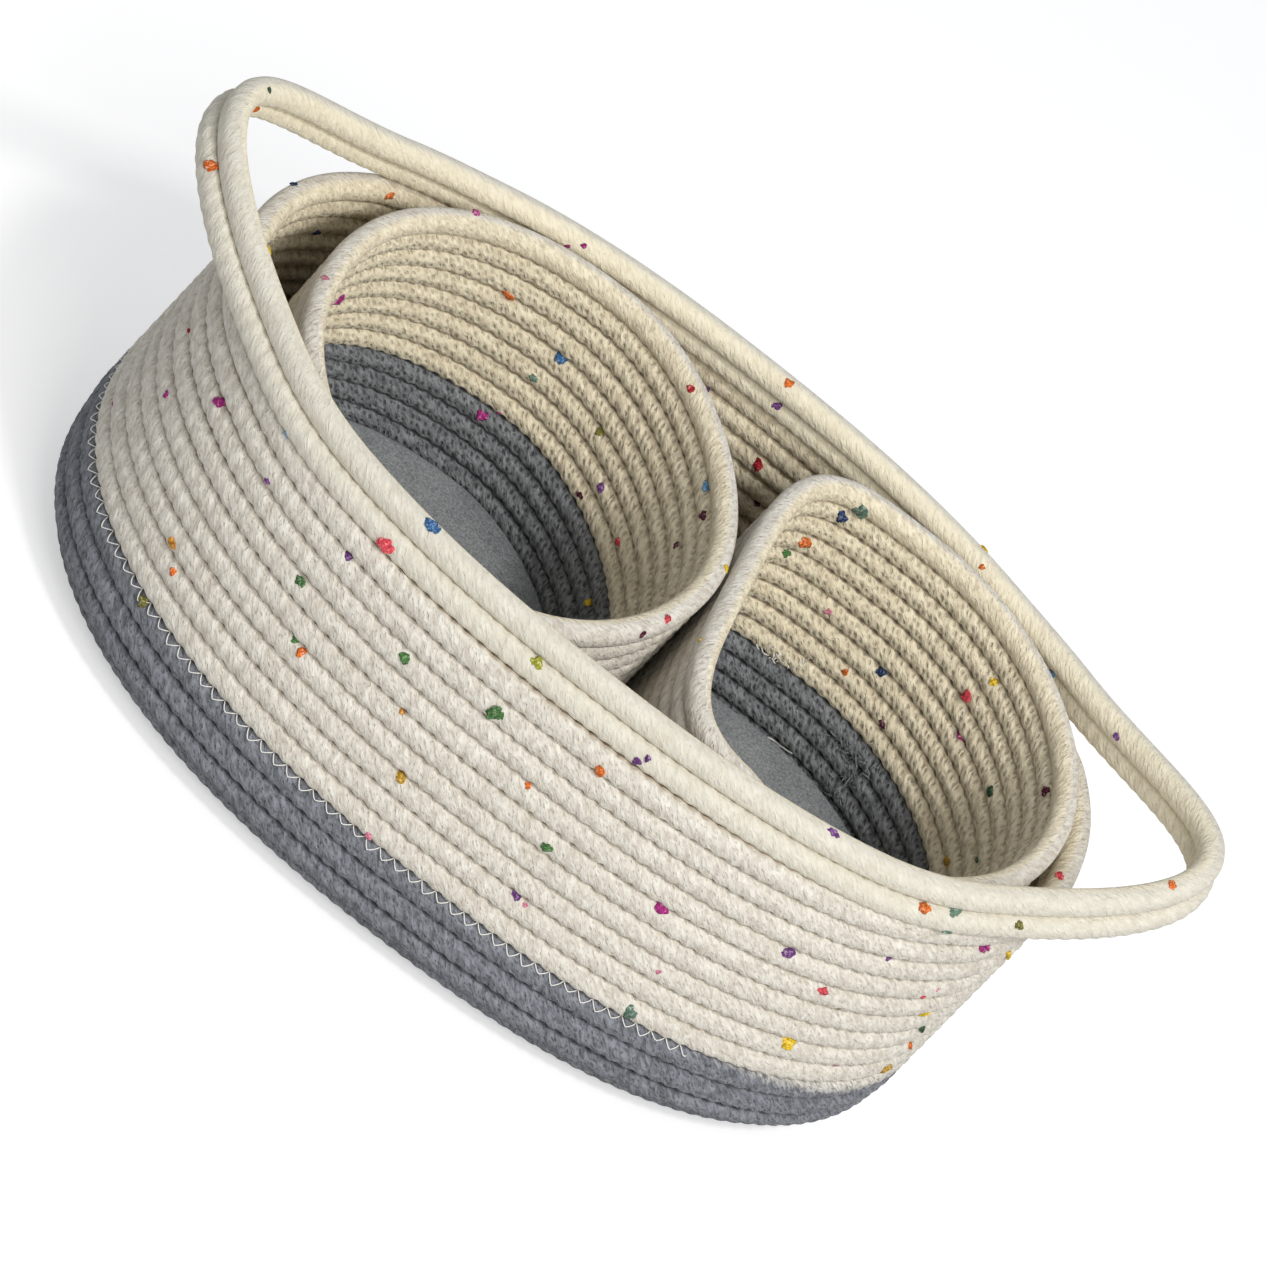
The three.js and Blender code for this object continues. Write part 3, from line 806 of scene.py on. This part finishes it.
def felt_pad(basket):
    """A pad of pressed felt: rounded at its upper edge, a little crowned, narrower below."""
    top_z = basket.base_z + basket.rope + TOUCH_GAP + PAD_THICKNESS
    width = basket.half_width - PAD_INSET + PAD_OVERLAP
    bm = bmesh.new()
    outline = bmesh.ops.create_circle(bm, segments=160, radius=1.0)["verts"]
    for vert in outline:
        right = vert.co.x >= 0
        half = (basket.right_half if right else basket.left_half) - PAD_INSET + PAD_OVERLAP
        roundness = basket.right_roundness if right else basket.left_roundness
        x, y = oval_point(half, width, roundness, np.arctan2(vert.co.y, vert.co.x))
        vert.co = Vector((x, y, 0.0)) * MM
    lowest = ring = bm.edges[:]
    share, height = 1.0, -top_z
    for index, (wanted_share, wanted_height) in enumerate(PAD_PROFILE):
        if index > 0:
            grown = bmesh.ops.extrude_edge_only(bm, edges=ring)["geom"]
            ring = [part for part in grown if isinstance(part, bmesh.types.BMEdge)]
            outline = [part for part in grown if isinstance(part, bmesh.types.BMVert)]
        change = wanted_share / share
        bmesh.ops.scale(bm, vec=(change, change, 1.0), verts=outline)
        bmesh.ops.translate(bm, vec=(0.0, 0.0, (wanted_height - height) * MM), verts=outline)
        share, height = wanted_share, wanted_height
    for edges in (lowest, ring):
        bmesh.ops.contextual_create(bm, geom=edges)
    bmesh.ops.translate(bm, vec=(basket.centre_x * MM, 0.0, 0.0), verts=bm.verts)
    bmesh.ops.recalc_face_normals(bm, faces=bm.faces)
    return mesh_of(bm, f"{basket.name}_felt_pad", 50)


def line_path(points, spacing):
    """A path along close points whose up is the world's."""
    up = np.tile([0.0, 0.0, 1.0], (len(points), 1))
    return even_path(points, up, 0.0, run_of(points)[-1], spacing)


def thread_run(points, width):
    """A fine round thread along close points."""
    path = line_path(points, THREAD_RING_SPACING)
    return rolled_rope("thread", path, 0.5 * width, 0.5 * width, sides=6, squareness=ROUND_SHAPE)


def zigzag_thread(basket, width):
    """White thread that sews the last cream row to the first grey one, lying over the grey.

    On the large basket it ends a little after the dye begins to thin out.
    """
    short_of_end, past_dye, off_rope = 4.0, 12.0, 0.3
    points, up = first_grey_loop(basket)
    path = even_path(points, up, STRAIGHT_END, run_of(points)[-1] - short_of_end,
                     STITCH_PITCH / 12)
    if basket is LARGE:
        keep = path.length < nearest_run(path, DYE_THINS_AT, path.length[-1]) + past_dye
        path = Path(path.points[keep], path.up[keep], path.out[keep], path.length[keep])
    half_width, half_height = wall_section(basket)
    phase = (path.length / STITCH_PITCH) % 1.0
    stitch = (path.length / STITCH_PITCH).astype(int)
    uneven = np.random.default_rng(SEED).uniform(0.65, 1.15, stitch[-1] + 1)[stitch]
    zigzag = np.interp(phase, (0.0, 0.45, 0.5, 1.0), (0.0, ZIGZAG_DROP, ZIGZAG_DROP, 0.0))
    height = half_height - (zigzag * uneven + 0.1)
    # The angle at which the rope's surface has that height, found in a few rounds
    angle = np.arccos(height / half_height)
    for _ in range(3):
        reach = rope_reach(angle, half_width, half_height, WALL_SHAPE)
        angle = np.arccos(np.clip(height / reach, -1, 1))
    out = reach * np.sin(angle) + off_rope
    laid = path.points + path.up * height[:, None] + path.out * out[:, None]
    return thread_run(laid, width)


def rim_oval(angle):
    """Points of the large rim from above, at angles round it."""
    return oval_point(RIM_HALF_LENGTH, RIM_HALF_WIDTH, LARGE_ROUNDNESS, angle)


def raised_to_rim(x, y):
    """Points at the height of the top rope, which rises towards the handles."""
    return np.stack([x, y, RIM_HEIGHT + rim_rise(x)], axis=-1)


def rim_line(side):
    """Centre line of the top rope on one side of the large basket, from root to root."""
    x, y = rim_oval(np.linspace(HANDLE_ROOT_ANGLE, pi - HANDLE_ROOT_ANGLE, 900))
    return raised_to_rim(side * x, side * y)


def handle_line(side):
    """Centre line of the top rope of a handle, from one root round its tip to the other."""
    before, here, after = [np.array(rim_oval(HANDLE_ROOT_ANGLE + turn))
                           for turn in (0.01, 0.0, -0.01)]
    lead = here + HANDLE_LEAD * unit(after - before)
    t = np.linspace(0, 1, 300)[:, None]
    leg = ((1 - t) ** 3 * here + 3 * (1 - t) ** 2 * t * lead
           + 3 * (1 - t) * t ** 2 * np.array([HANDLE_REACH, HANDLE_TIP_BOW])
           + t ** 3 * np.array([HANDLE_REACH, 0.0]))
    back_to_front = np.concatenate([leg, leg[-2::-1] * [1, -1]])
    plan = back_to_front[::-1] if side > 0 else back_to_front * [-1, 1]
    return raised_to_rim(plan[:, 0], plan[:, 1])


def double_rope(name, line, on_wall):
    """Two ropes sewn one over the other, the lower one leaning out of the basket."""
    lower_line = line.copy()
    along = unit(np.gradient(line, axis=0))
    lower_line[:, 0] += along[:, 1] * RIM_LEAN
    lower_line[:, 1] -= along[:, 0] * RIM_LEAN
    lower_line[:, 2] -= LARGE_ROPE
    half = 0.5 * LARGE_ROPE
    roll = partial(rolled_rope, half_width=half, squareness=RIM_SHAPE, pull=RIM_PULL,
                   netted=RIM_NET, flat_ends=True)
    return [
        roll(f"{name}_upper", line_path(line, RING_SPACING), sides=18,
             half_height=half + UPPER_RIM_PRESS, sewn=(0.0, 1.0)),
        roll(f"{name}_lower", line_path(lower_line, RING_SPACING), sides=16,
             half_height=half + LOWER_RIM_PRESS, sewn=(1.0, float(on_wall))),
    ]


# Camera rays through the photograph

def camera_axes():
    """Place of the camera and its right, up and backward directions, in metres."""
    back = Vector((sin(CAMERA_AZIMUTH) * cos(CAMERA_ELEVATION),
                   -cos(CAMERA_AZIMUTH) * cos(CAMERA_ELEVATION), sin(CAMERA_ELEVATION)))
    level = Vector((cos(CAMERA_AZIMUTH), sin(CAMERA_AZIMUTH), 0.0))
    upright = back.cross(level)
    rolled_right = level * cos(CAMERA_ROLL) + upright * sin(CAMERA_ROLL)
    rolled_up = upright * cos(CAMERA_ROLL) - level * sin(CAMERA_ROLL)
    place = Vector((0, 0, CAMERA_TARGET_Z)) + back * CAMERA_DISTANCE
    aim = Vector((0, 0, CAMERA_TARGET_Z)) + rolled_right * FRAMING_RIGHT + rolled_up * FRAMING_UP
    backward = (place - aim).normalized()
    right = (rolled_right - backward * rolled_right.dot(backward)).normalized()
    return place * MM, right, backward.cross(right), backward


def photo_ray(x, y):
    """Start and direction of the ray through a pixel of the photograph."""
    place, right, up, backward = camera_axes()
    shift_right = (x - PHOTO_SIZE / 2) / PHOTO_FOCAL
    shift_up = (PHOTO_SIZE / 2 - y) / PHOTO_FOCAL
    return place, (right * shift_right + up * shift_up - backward).normalized()


# Where the dye of the first grey row thins out, and where it is thinnest
DYE_THINS_AT = (650, 1045)
DYE_THINNEST_AT = (900, 1085)

# Frayed stitching in the right small basket, as (pixel across, pixel down, spread in mm)
CREAM_FRAYS = ((768, 648, 2.4), (776, 655, 2.8), (786, 660, 2.8), (797, 661, 2.2))
GREY_FRAYS = ((838, 742, 4.0), (850, 752, 4.5), (862, 762, 4.5), (845, 772, 4.0), (832, 795, 3.0),
              (872, 755, 4.0))
LOOSE_THREAD = ((766, 737), (775, 742), (785, 747), (794, 753))

# Coloured slubs, as (pixel across, pixel down, dye, length in mm)
NEAR_WALL_SLUBS = (
    (190, 331, "red", 2.6), (166, 395, "magenta", 3.4), (220, 402, "magenta", 6.0),
    (267, 481, "purple", 3.0), (349, 556, "purple", 5.0), (384, 544, "coral", 7.0),
    (431, 525, "blue", 7.0), (172, 544, "amber", 4.5), (173, 571, "orange", 3.5),
    (143, 600, "olive", 5.0), (300, 581, "green", 4.5), (295, 640, "green", 4.0),
    (301, 652, "orange", 4.0), (404, 657, "green", 5.0), (402, 712, "amber", 3.0),
    (495, 712, "green", 7.0), (401, 776, "mustard", 4.5), (538, 662, "lime", 5.0),
    (368, 835, "pink", 3.5), (528, 785, "orange", 3.0), (600, 771, "orange", 5.0),
    (637, 761, "purple", 4.5), (648, 758, "purple", 3.0), (548, 848, "green", 4.5),
    (517, 897, "purple", 4.0), (525, 905, "pink", 2.5), (662, 908, "magenta", 6.5),
    (630, 1013, "grey green", 6.5), (658, 972, "pink", 2.5), (790, 953, "purple", 5.0),
    (788, 1042, "yellow", 7.0), (824, 991, "coral", 4.0), (833, 832, "purple", 4.5),
    (888, 958, "purple", 3.0), (923, 908, "orange", 5.5), (955, 911, "grey green", 5.5),
    (983, 946, "magenta", 5.0), (1008, 952, "yellow", 5.0), (1020, 925, "olive", 3.5),
    (923, 997, "coral", 3.0), (937, 990, "pink", 2.0), (925, 1014, "yellow", 3.5),
    (922, 1027, "dark green", 5.0), (910, 1045, "orange", 3.5), (886, 1069, "mustard", 5.0),
)
HANDLE_SLUBS = (
    (269, 90, "dark green", 3.0), (257, 109, "orange", 3.5), (212, 166, "orange", 5.0),
    (1172, 886, "orange", 4.0), (1116, 736, "purple", 3.5), (1060, 876, "coral", 4.0),
)
FAR_WALL_SLUBS = (
    (1052, 674, "light blue", 5.0), (983, 548, "yellow", 4.0), (982, 567, "orange", 3.0),
    (292, 181, "navy", 3.5), (316, 232, "navy", 5.0), (391, 196, "orange", 4.0),
    (476, 213, "magenta", 4.0), (568, 246, "magenta", 2.5), (584, 246, "magenta", 2.8),
    (788, 384, "orange", 4.0), (778, 406, "purple", 4.0), (690, 388, "red", 3.5),
    (758, 466, "red", 5.0), (757, 503, "maroon", 4.0),
)
LEFT_BASKET_SLUBS = (
    (339, 300, "magenta", 6.0), (326, 278, "pink", 3.0), (508, 295, "orange", 6.0),
    (561, 358, "blue", 6.0), (533, 378, "grey green", 4.0), (600, 432, "olive", 4.5),
    (481, 416, "magenta", 5.0), (499, 413, "magenta", 2.5), (601, 487, "purple", 4.0),
    (580, 495, "maroon", 3.0), (618, 542, "coral", 4.0), (676, 545, "maroon", 3.0),
    (707, 487, "light blue", 4.5), (703, 515, "maroon", 4.5), (588, 603, "yellow", 4.5),
    (667, 620, "coral", 3.5), (642, 635, "maroon", 3.5),
)
RIGHT_BASKET_SLUBS = (
    (842, 518, "navy", 5.5), (862, 511, "grey green", 7.0), (806, 543, "orange", 5.5),
    (786, 553, "green", 4.0), (828, 612, "pink", 3.0), (882, 672, "navy", 5.0),
    (845, 672, "orange", 3.5), (967, 695, "coral", 5.0), (994, 682, "yellow", 4.0),
    (883, 725, "maroon", 4.0), (990, 791, "dark green", 4.5), (1045, 791, "maroon", 4.5),
    (947, 861, "mustard", 4.5), (977, 860, "dark green", 3.0), (726, 568, "yellow", 3.5),
    (700, 640, "yellow", 2.5),
)


def slub_mesh(name, spots, size, random):
    """Soft knots of fibre of a few lobes each, from (place, normal, along, length, dye)."""
    bm = bmesh.new()
    dye_layer = bm.verts.layers.float_color.new(DYE)
    for place, normal, along, length, dye in spots:
        length = length * size
        side = normal.cross(along).normalized()
        turn = Matrix((along, side, normal)).transposed().to_4x4()
        lobes = [(0.0, 0.0, 0.36 * length)]
        for _ in range(random.integers(2, 6)):
            bearing = random.uniform(0, 2 * pi)
            away = random.uniform(0.2, 0.42) * length
            radius = random.uniform(0.1, 0.28) * length
            lobes.append((away * cos(bearing), 0.75 * away * sin(bearing), radius))
        for x, y, radius in lobes:
            tone = random.uniform(0.7, 1.2)
            colour = [channel * tone for channel in linear(DYES[dye])[:3]] + [1.0]
            knot = bmesh.ops.create_icosphere(bm, subdivisions=2, radius=radius * MM)["verts"]
            phase = random.uniform(0, 2 * pi, 2)
            for vert in knot:
                bearing = np.arctan2(vert.co.y, vert.co.x)
                waves = 0.16 * sin(3 * bearing + phase[0]) + 0.12 * sin(5 * bearing + phase[1])
                vert.co *= (1 + waves) * random.uniform(0.94, 1.06)
                vert.co.z *= 0.5
                vert[dye_layer] = colour
            bmesh.ops.translate(bm, vec=(x * MM, y * MM, 0.05 * MM), verts=knot)
            bmesh.ops.transform(bm, matrix=Matrix.Translation(place) @ turn, verts=knot)
    return mesh_of(bm, name)


def rope_trees(names):
    """Search trees of the ropes whose names end in one of these."""
    trees = {}
    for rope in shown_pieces():
        if rope.name.endswith(names):
            bm = bmesh.new()
            bm.from_mesh(rope.data)
            trees[rope.name] = BVHTree.FromBMesh(bm)
            bm.free()
    return trees


def first_rope(trees, origin, direction):
    """Name, place, normal and distance of the first rope that a ray meets."""
    nearest = None
    for name, tree in trees.items():
        place, normal, _, reach = tree.ray_cast(origin, direction)
        if place is not None and (nearest is None or reach < nearest[3]):
            nearest = (name, place, normal, reach)
    return nearest


def rope_at(trees, x, y):
    """Rope, place and normal at a pixel; one just off the outline is moved in a little."""
    middle = PHOTO_SIZE / 2
    for share in np.linspace(0, 0.06, 9):
        met = first_rope(trees, *photo_ray(x + (middle - x) * share, y + (middle - y) * share))
        if met is not None:
            return met[:3]
    raise RuntimeError(f"no rope near the pixel {x}, {y}")


def hidden_spots(trees, carriers, random):
    """Places for slubs on the sides that the photograph doesn't show, clear of their neighbours."""
    faces_to_a_slub, tries_to_a_slub = 1300, 12
    clearance = 7 * MM
    camera = camera_axes()[0]
    found = []
    for carrier in carriers:
        faces = bpy.data.objects[carrier].data.polygons
        wanted = max(2, round(len(faces) / faces_to_a_slub))
        for index in random.integers(0, len(faces), tries_to_a_slub * wanted):
            place, normal = faces[index].center.copy(), faces[index].normal.copy()
            towards = camera - place
            blocked = first_rope(trees, place + normal * 0.5 * MM, towards.normalized())
            turned_away = normal.dot(towards) < 0
            beside = first_rope(trees, place + normal * 0.2 * MM, normal)
            clear = beside is None or beside[3] > clearance
            if clear and (blocked or turned_away):
                found.append((carrier, place, normal))
                wanted -= 1
            if wanted == 0:
                break
    return found


def level_tangent(normal, random):
    """A direction along the surface, near level."""
    level = Vector((0, 0, 1)).cross(normal).normalized()
    tilt = random.normal(0, 0.35)
    return (level * cos(tilt) + normal.cross(level) * sin(tilt)).normalized()


def smooth_line(points):
    """A smooth curve of close points through a few points."""
    knots = np.linspace(0, 1, len(points))
    bend = np.polynomial.polynomial.polyfit(knots, points, len(points) - 1)
    return np.polynomial.polynomial.polyval(np.linspace(0, 1, 12 * len(points)), bend).T


def fibres_at(trees, spots, count, length, width, random):
    """Loose curved fibres that stand out of the ropes round some pixels of the photograph.

    Their roots lie a millimetre deep.
    """
    threads = []
    t = np.linspace(0, 1, 9)[:, None]
    for x, y, spread in spots:
        _, place, normal = rope_at(trees, x, y)
        across = level_tangent(normal, random)
        over = normal.cross(across)
        for _ in range(count):
            root = place / MM + (across * random.normal(0, spread)
                                 + over * random.normal(0, 0.6 * spread) - normal)
            lean = (normal + across * random.normal(0, 0.9)
                    + over * random.normal(0, 0.9)).normalized()
            curl = across * random.normal(0, 1) + over * random.normal(0, 1) - normal * 0.8
            reach = length * random.uniform(0.6, 1.2)
            line = np.array(root) + reach * (t * np.array(lean) + 0.45 * t * t * np.array(curl))
            threads.append(thread_run(line, width))
    return threads


def body_for(carrier):
    """Body of the basket or handle that a rope belongs to."""
    for basket in (SMALL_LEFT, SMALL_RIGHT):
        if carrier.startswith(basket.name):
            return basket.body
    for name in ("right", "left"):
        if carrier.startswith(f"{name}_handle"):
            return f"{name}_handle_loop"
    return LARGE.body


# Stage

def lay_floor(scene, stage):
    """A floor of matt white paper, which looks paler to the camera than it is."""
    bm = bmesh.new()
    bmesh.ops.create_grid(bm, x_segments=1, y_segments=1, size=6.0)
    mesh = bpy.data.meshes.new("pale_floor")
    bm.to_mesh(mesh)
    bm.free()
    floor = bpy.data.objects.new("pale_floor", mesh)
    scene.collection.objects.link(floor)
    material, add = new_material("matt_white_paper")
    seen = add("LightPath", out="Is Camera Ray")
    glow = add("Math", {0: seen, 1: stage.floor_glow}, operation="MULTIPLY")
    surface = add("BsdfPrincipled", {
        "Base Color": list(stage.floor_colour), "Roughness": 0.9,
        "Emission Color": (1, 1, 1, 1), "Emission Strength": glow})
    add("OutputMaterial", {"Surface": surface})
    mesh.materials.append(material)
    floor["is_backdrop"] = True


def light_room(scene, stage):
    """Even light from all round, in a room that is plain white to the camera and in gloss."""
    world = bpy.data.worlds.new("soft_white_room")
    scene.world = world
    world.use_nodes = True
    world.node_tree.nodes.clear()
    add = partial(add_node, world.node_tree)
    rays = add("LightPath").node.outputs
    direct = add("Math", {0: rays["Is Camera Ray"], 1: rays["Is Glossy Ray"]},
                 operation="MAXIMUM")
    through = add("Math", {0: direct, 1: rays["Is Transmission Ray"]}, operation="MAXIMUM")
    strength = add("MapRange", {"Value": through, "To Min": stage.sky_strength, "To Max": 1.0})
    tint = add("Mix", {0: through, 6: list(stage.sky_colour), 7: (1, 1, 1, 1)}, out=2,
               data_type="RGBA")
    sky = add("Background", {"Color": tint, "Strength": strength})
    add("OutputWorld", {"Surface": sky})


def hang_lamps(scene, stage):
    """A small soft lamp that throws the shadows, and a large one that lights the insides."""
    for name, power, size, place in (("key_softbox", stage.key_power, 0.3, KEY_PLACE),
                                     ("fill_softbox", stage.fill_power, 0.9, FILL_PLACE)):
        lamp = bpy.data.lights.new(name, "AREA")
        lamp.size = size
        lamp.energy = power
        softbox = bpy.data.objects.new(name, lamp)
        softbox.location = place
        aim = LAMPS_AIM_AT - softbox.location
        softbox.rotation_euler = aim.to_track_quat("-Z", "Y").to_euler()
        scene.collection.objects.link(softbox)


def set_camera(scene):
    """The camera of the photograph."""
    place, right, up, backward = camera_axes()
    camera = bpy.data.cameras.new("photo_camera")
    camera.sensor_width = SENSOR_WIDTH
    camera.lens = PHOTO_FOCAL * SENSOR_WIDTH / PHOTO_SIZE
    camera.clip_end = 50.0
    holder = bpy.data.objects.new("photo_camera", camera)
    turn = Matrix((right, up, backward)).transposed().to_4x4()
    holder.matrix_world = Matrix.Translation(place) @ turn
    scene.collection.objects.link(holder)
    scene.camera = holder


# Settings, operators and panel

def colour_setting(name, description, hex_colour):
    """A colour that the user can change, written as hex."""
    return bpy.props.FloatVectorProperty(
        name=name, description=description, subtype="COLOR", size=4, default=linear(hex_colour),
        min=0.0, max=1.0)


class RopeBasketLook(bpy.types.PropertyGroup):
    """Colours of the cotton and sizes of the sewing."""

    cream_light: colour_setting(
        "Cream", "Undyed cotton of the walls, where light falls on it", "#F7F2E6")
    cream_shade: colour_setting(
        "Cream Shade", "Undyed cotton of the walls between its fibres", "#D3CABB")
    rim_light: colour_setting(
        "Rim", "Smooth undyed cotton of the rim and the handles", "#F4EFE0")
    rim_shade: colour_setting(
        "Rim Shade", "Cotton of the rim and the handles between its fibres", "#E3DCCB")
    grey_light: colour_setting("Grey", "Grey dyed cotton of the lower rows", "#9A9CA1")
    grey_shade: colour_setting("Grey Shade", "Grey dyed cotton between its fibres", "#626468")
    felt_light: colour_setting("Felt", "Pressed cotton of the pads", "#AEB1B2")
    felt_shade: colour_setting("Felt Shade", "Darker specks of the pads", "#66696C")
    thread_colour: colour_setting(
        "Thread", "Sewing thread where the two colours meet", "#F6F4EE")
    thread_width: bpy.props.FloatProperty(
        name="Thread Width", description="Width of the sewing thread", default=0.0004, min=0.0001,
        max=0.001, precision=5, unit="LENGTH")
    stitch_depth: bpy.props.FloatProperty(
        name="Stitch Depth", description="How far a stitch pulls the rope of the walls in",
        default=0.0005, min=0.0, max=0.0012, precision=5, unit="LENGTH")
    slub_size: bpy.props.FloatProperty(
        name="Slub Size", description="Size of the coloured slubs, as a share of the usual one",
        default=1.0, min=0.2, max=2.0, subtype="FACTOR")


class RopeBasketStage(bpy.types.PropertyGroup):
    """Light and floor of the stage."""

    key_power: bpy.props.FloatProperty(
        name="Key Light", description="Power of the small soft lamp, which throws the shadows",
        default=19.5, min=0.0, unit="POWER")
    fill_power: bpy.props.FloatProperty(
        name="Fill Light", description="Power of the large soft lamp, which lights the insides",
        default=20.0, min=0.0, unit="POWER")
    sky_strength: bpy.props.FloatProperty(
        name="Sky Light", description="Strength of the even light from all round", default=0.5,
        min=0.0)
    sky_colour: colour_setting("Sky", "Colour of the even light from all round", "#F0F4FC")
    floor_glow: bpy.props.FloatProperty(
        name="Floor Glow", description="How much paler the floor looks to the camera", default=0.5,
        min=0.0, max=1.0, subtype="FACTOR")
    floor_colour: colour_setting("Floor", "Colour of the floor", "#CECDCB")


def wind_basket(basket, look):
    """Winds a basket's wall and floor, and sews its two colours together."""
    wall_ropes(basket, look)
    add_piece(f"{basket.name}_floor_rope", [floor_rope(basket)], rope_cotton(look, "grey"),
              basket.body, [f"{basket.name}_floor"])
    add_piece(f"{basket.name}_zigzag_thread", [zigzag_thread(basket, look.thread_width / MM)],
              white_thread(look), basket.body)


class WindLargeBasket(bpy.types.Operator):
    """Winds the wall and the floor spiral of the large basket."""

    bl_idname = "rope_basket.wind_large"
    bl_label = "Large Basket"

    def execute(self, context):
        wind_basket(LARGE, context.scene.rope_basket_look)
        return {"FINISHED"}


class LayRimAndHandles(bpy.types.Operator):
    """Lays the two top ropes round the rim and out as handles."""

    bl_idname = "rope_basket.lay_rim"
    bl_label = "Rim and Handles"

    def execute(self, context):
        material = rope_cotton(context.scene.rope_basket_look, "rim")
        for side, name in ((1, "back"), (-1, "front")):
            meshes = double_rope(f"large_{name}_rim_ropes", rim_line(side), True)
            add_piece(f"large_{name}_rim_ropes", meshes, material, LARGE.body,
                      [f"large_{name}_rim"])
        for side, name in ((1, "right"), (-1, "left")):
            meshes = double_rope(f"{name}_handle_ropes", handle_line(side), False)
            piece = add_piece(f"{name}_handle_ropes", meshes, material, nodes=[f"{name}_handle"])
            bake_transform(piece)
        return {"FINISHED"}


class WindSmallBaskets(bpy.types.Operator):
    """Winds both small baskets and lays their pads."""

    bl_idname = "rope_basket.wind_small"
    bl_label = "Small Baskets"

    def execute(self, context):
        look = context.scene.rope_basket_look
        felt = kept_material("grey_dyed_cotton_felt", felt_material, list(look.felt_light),
                             list(look.felt_shade))
        for basket in (SMALL_LEFT, SMALL_RIGHT):
            wind_basket(basket, look)
            pad = add_piece(f"{basket.name}_felt_pad", [felt_pad(basket)], felt, basket.body,
                            [f"{basket.name}_pad"])
        return {"FINISHED"}


class LaySlubs(bpy.types.Operator):
    """Lays the coloured slubs on the ropes."""

    bl_idname = "rope_basket.lay_slubs"
    bl_label = "Coloured Slubs"

    def execute(self, context):
        look = context.scene.rope_basket_look
        random = np.random.default_rng(SEED)
        trees = rope_trees(("_rope", "_ropes"))
        cream = [name for name in trees if name.endswith(("_cream_rope", "_ropes"))]
        spots = {}
        for x, y, dye, length in (NEAR_WALL_SLUBS + HANDLE_SLUBS + FAR_WALL_SLUBS
                                  + LEFT_BASKET_SLUBS + RIGHT_BASKET_SLUBS):
            carrier, place, normal = rope_at(trees, x, y)
            along = level_tangent(normal, random)
            spots.setdefault(carrier, []).append((place, normal, along, length, dye))
        for carrier, place, normal in hidden_spots(trees, cream, random):
            dye = list(DYES)[random.integers(0, len(DYES))]
            along = level_tangent(normal, random)
            length = random.uniform(2.5, 6.0)
            spots.setdefault(carrier, []).append((place, normal, along, length, dye))
        material = kept_material("dyed_cotton_slub", slub_material, list(look.cream_light))
        for carrier, laid in spots.items():
            mesh = slub_mesh(f"{carrier}_slubs", laid, look.slub_size, random)
            add_piece(f"{carrier}_slubs", [mesh], material, body_for(carrier))
        return {"FINISHED"}


class FrayStitches(bpy.types.Operator):
    """Pulls loose fibres out of the right small basket, where its two colours meet."""

    bl_idname = "rope_basket.fray_stitches"
    bl_label = "Frayed Stitches"

    def execute(self, context):
        look = context.scene.rope_basket_look
        random = np.random.default_rng(SEED + 1)
        trees = rope_trees(("small_right_cream_rope", "small_right_grey_rope"))
        cream = fibres_at(trees, CREAM_FRAYS, count=16, length=2.4, width=0.45, random=random)
        found = [rope_at(trees, x, y) for x, y in LOOSE_THREAD]
        line = np.array([(place + normal * 0.6 * MM) / MM for _, place, normal in found])
        cream.append(thread_run(smooth_line(line), 1.5 * look.thread_width / MM))
        add_piece("small_right_cream_frays", cream, white_thread(look), SMALL_RIGHT.body)
        loose = kept_material("grey_dyed_cotton_fibre", thread_material, linear("#A2A4A6"),
                              linear("#505255"))
        grey = fibres_at(trees, GREY_FRAYS, count=20, length=4.5, width=0.5, random=random)
        add_piece("small_right_grey_frays", grey, loose, SMALL_RIGHT.body)
        return {"FINISHED"}


class SetStage(bpy.types.Operator):
    """Sets the floor, the lights and the camera of the photograph."""

    bl_idname = "rope_basket.set_stage"
    bl_label = "Stage"

    def execute(self, context):
        scene = context.scene
        scene.view_settings.view_transform = "Standard"
        lay_floor(scene, scene.rope_basket_stage)
        light_room(scene, scene.rope_basket_stage)
        hang_lamps(scene, scene.rope_basket_stage)
        set_camera(scene)
        return {"FINISHED"}


class RopeBasketPanel(bpy.types.Panel):
    """Lists the steps that make the basket set."""

    bl_idname = "VIEW3D_PT_rope_basket"
    bl_label = "Rope Baskets"
    bl_space_type = "VIEW_3D"
    bl_region_type = "UI"
    bl_category = "Rope Baskets"

    def draw(self, context):
        for operator in OPERATORS:
            self.layout.operator(operator.bl_idname)
        for settings in (context.scene.rope_basket_look, context.scene.rope_basket_stage):
            for name in type(settings).__annotations__:
                self.layout.prop(settings, name)


OPERATORS = (WindLargeBasket, LayRimAndHandles, WindSmallBaskets, LaySlubs, FrayStitches, SetStage)


CLASSES = (RopeBasketLook, RopeBasketStage, *OPERATORS, RopeBasketPanel)


def register():
    """Adds the settings, the operators and the panel."""
    for each in CLASSES:
        bpy.utils.register_class(each)
    bpy.types.Scene.rope_basket_look = bpy.props.PointerProperty(type=RopeBasketLook)
    bpy.types.Scene.rope_basket_stage = bpy.props.PointerProperty(type=RopeBasketStage)


def unregister():
    """Takes them away again."""
    del bpy.types.Scene.rope_basket_stage
    del bpy.types.Scene.rope_basket_look
    for each in reversed(CLASSES):
        bpy.utils.unregister_class(each)


def main():
    """Makes the whole set."""
    register()
    bpy.ops.rope_basket.wind_large()
    bpy.ops.rope_basket.lay_rim()
    bpy.ops.rope_basket.wind_small()
    bpy.ops.rope_basket.lay_slubs()
    bpy.ops.rope_basket.fray_stitches()
    bpy.ops.rope_basket.set_stage()


if __name__ == "__main__":
    main()
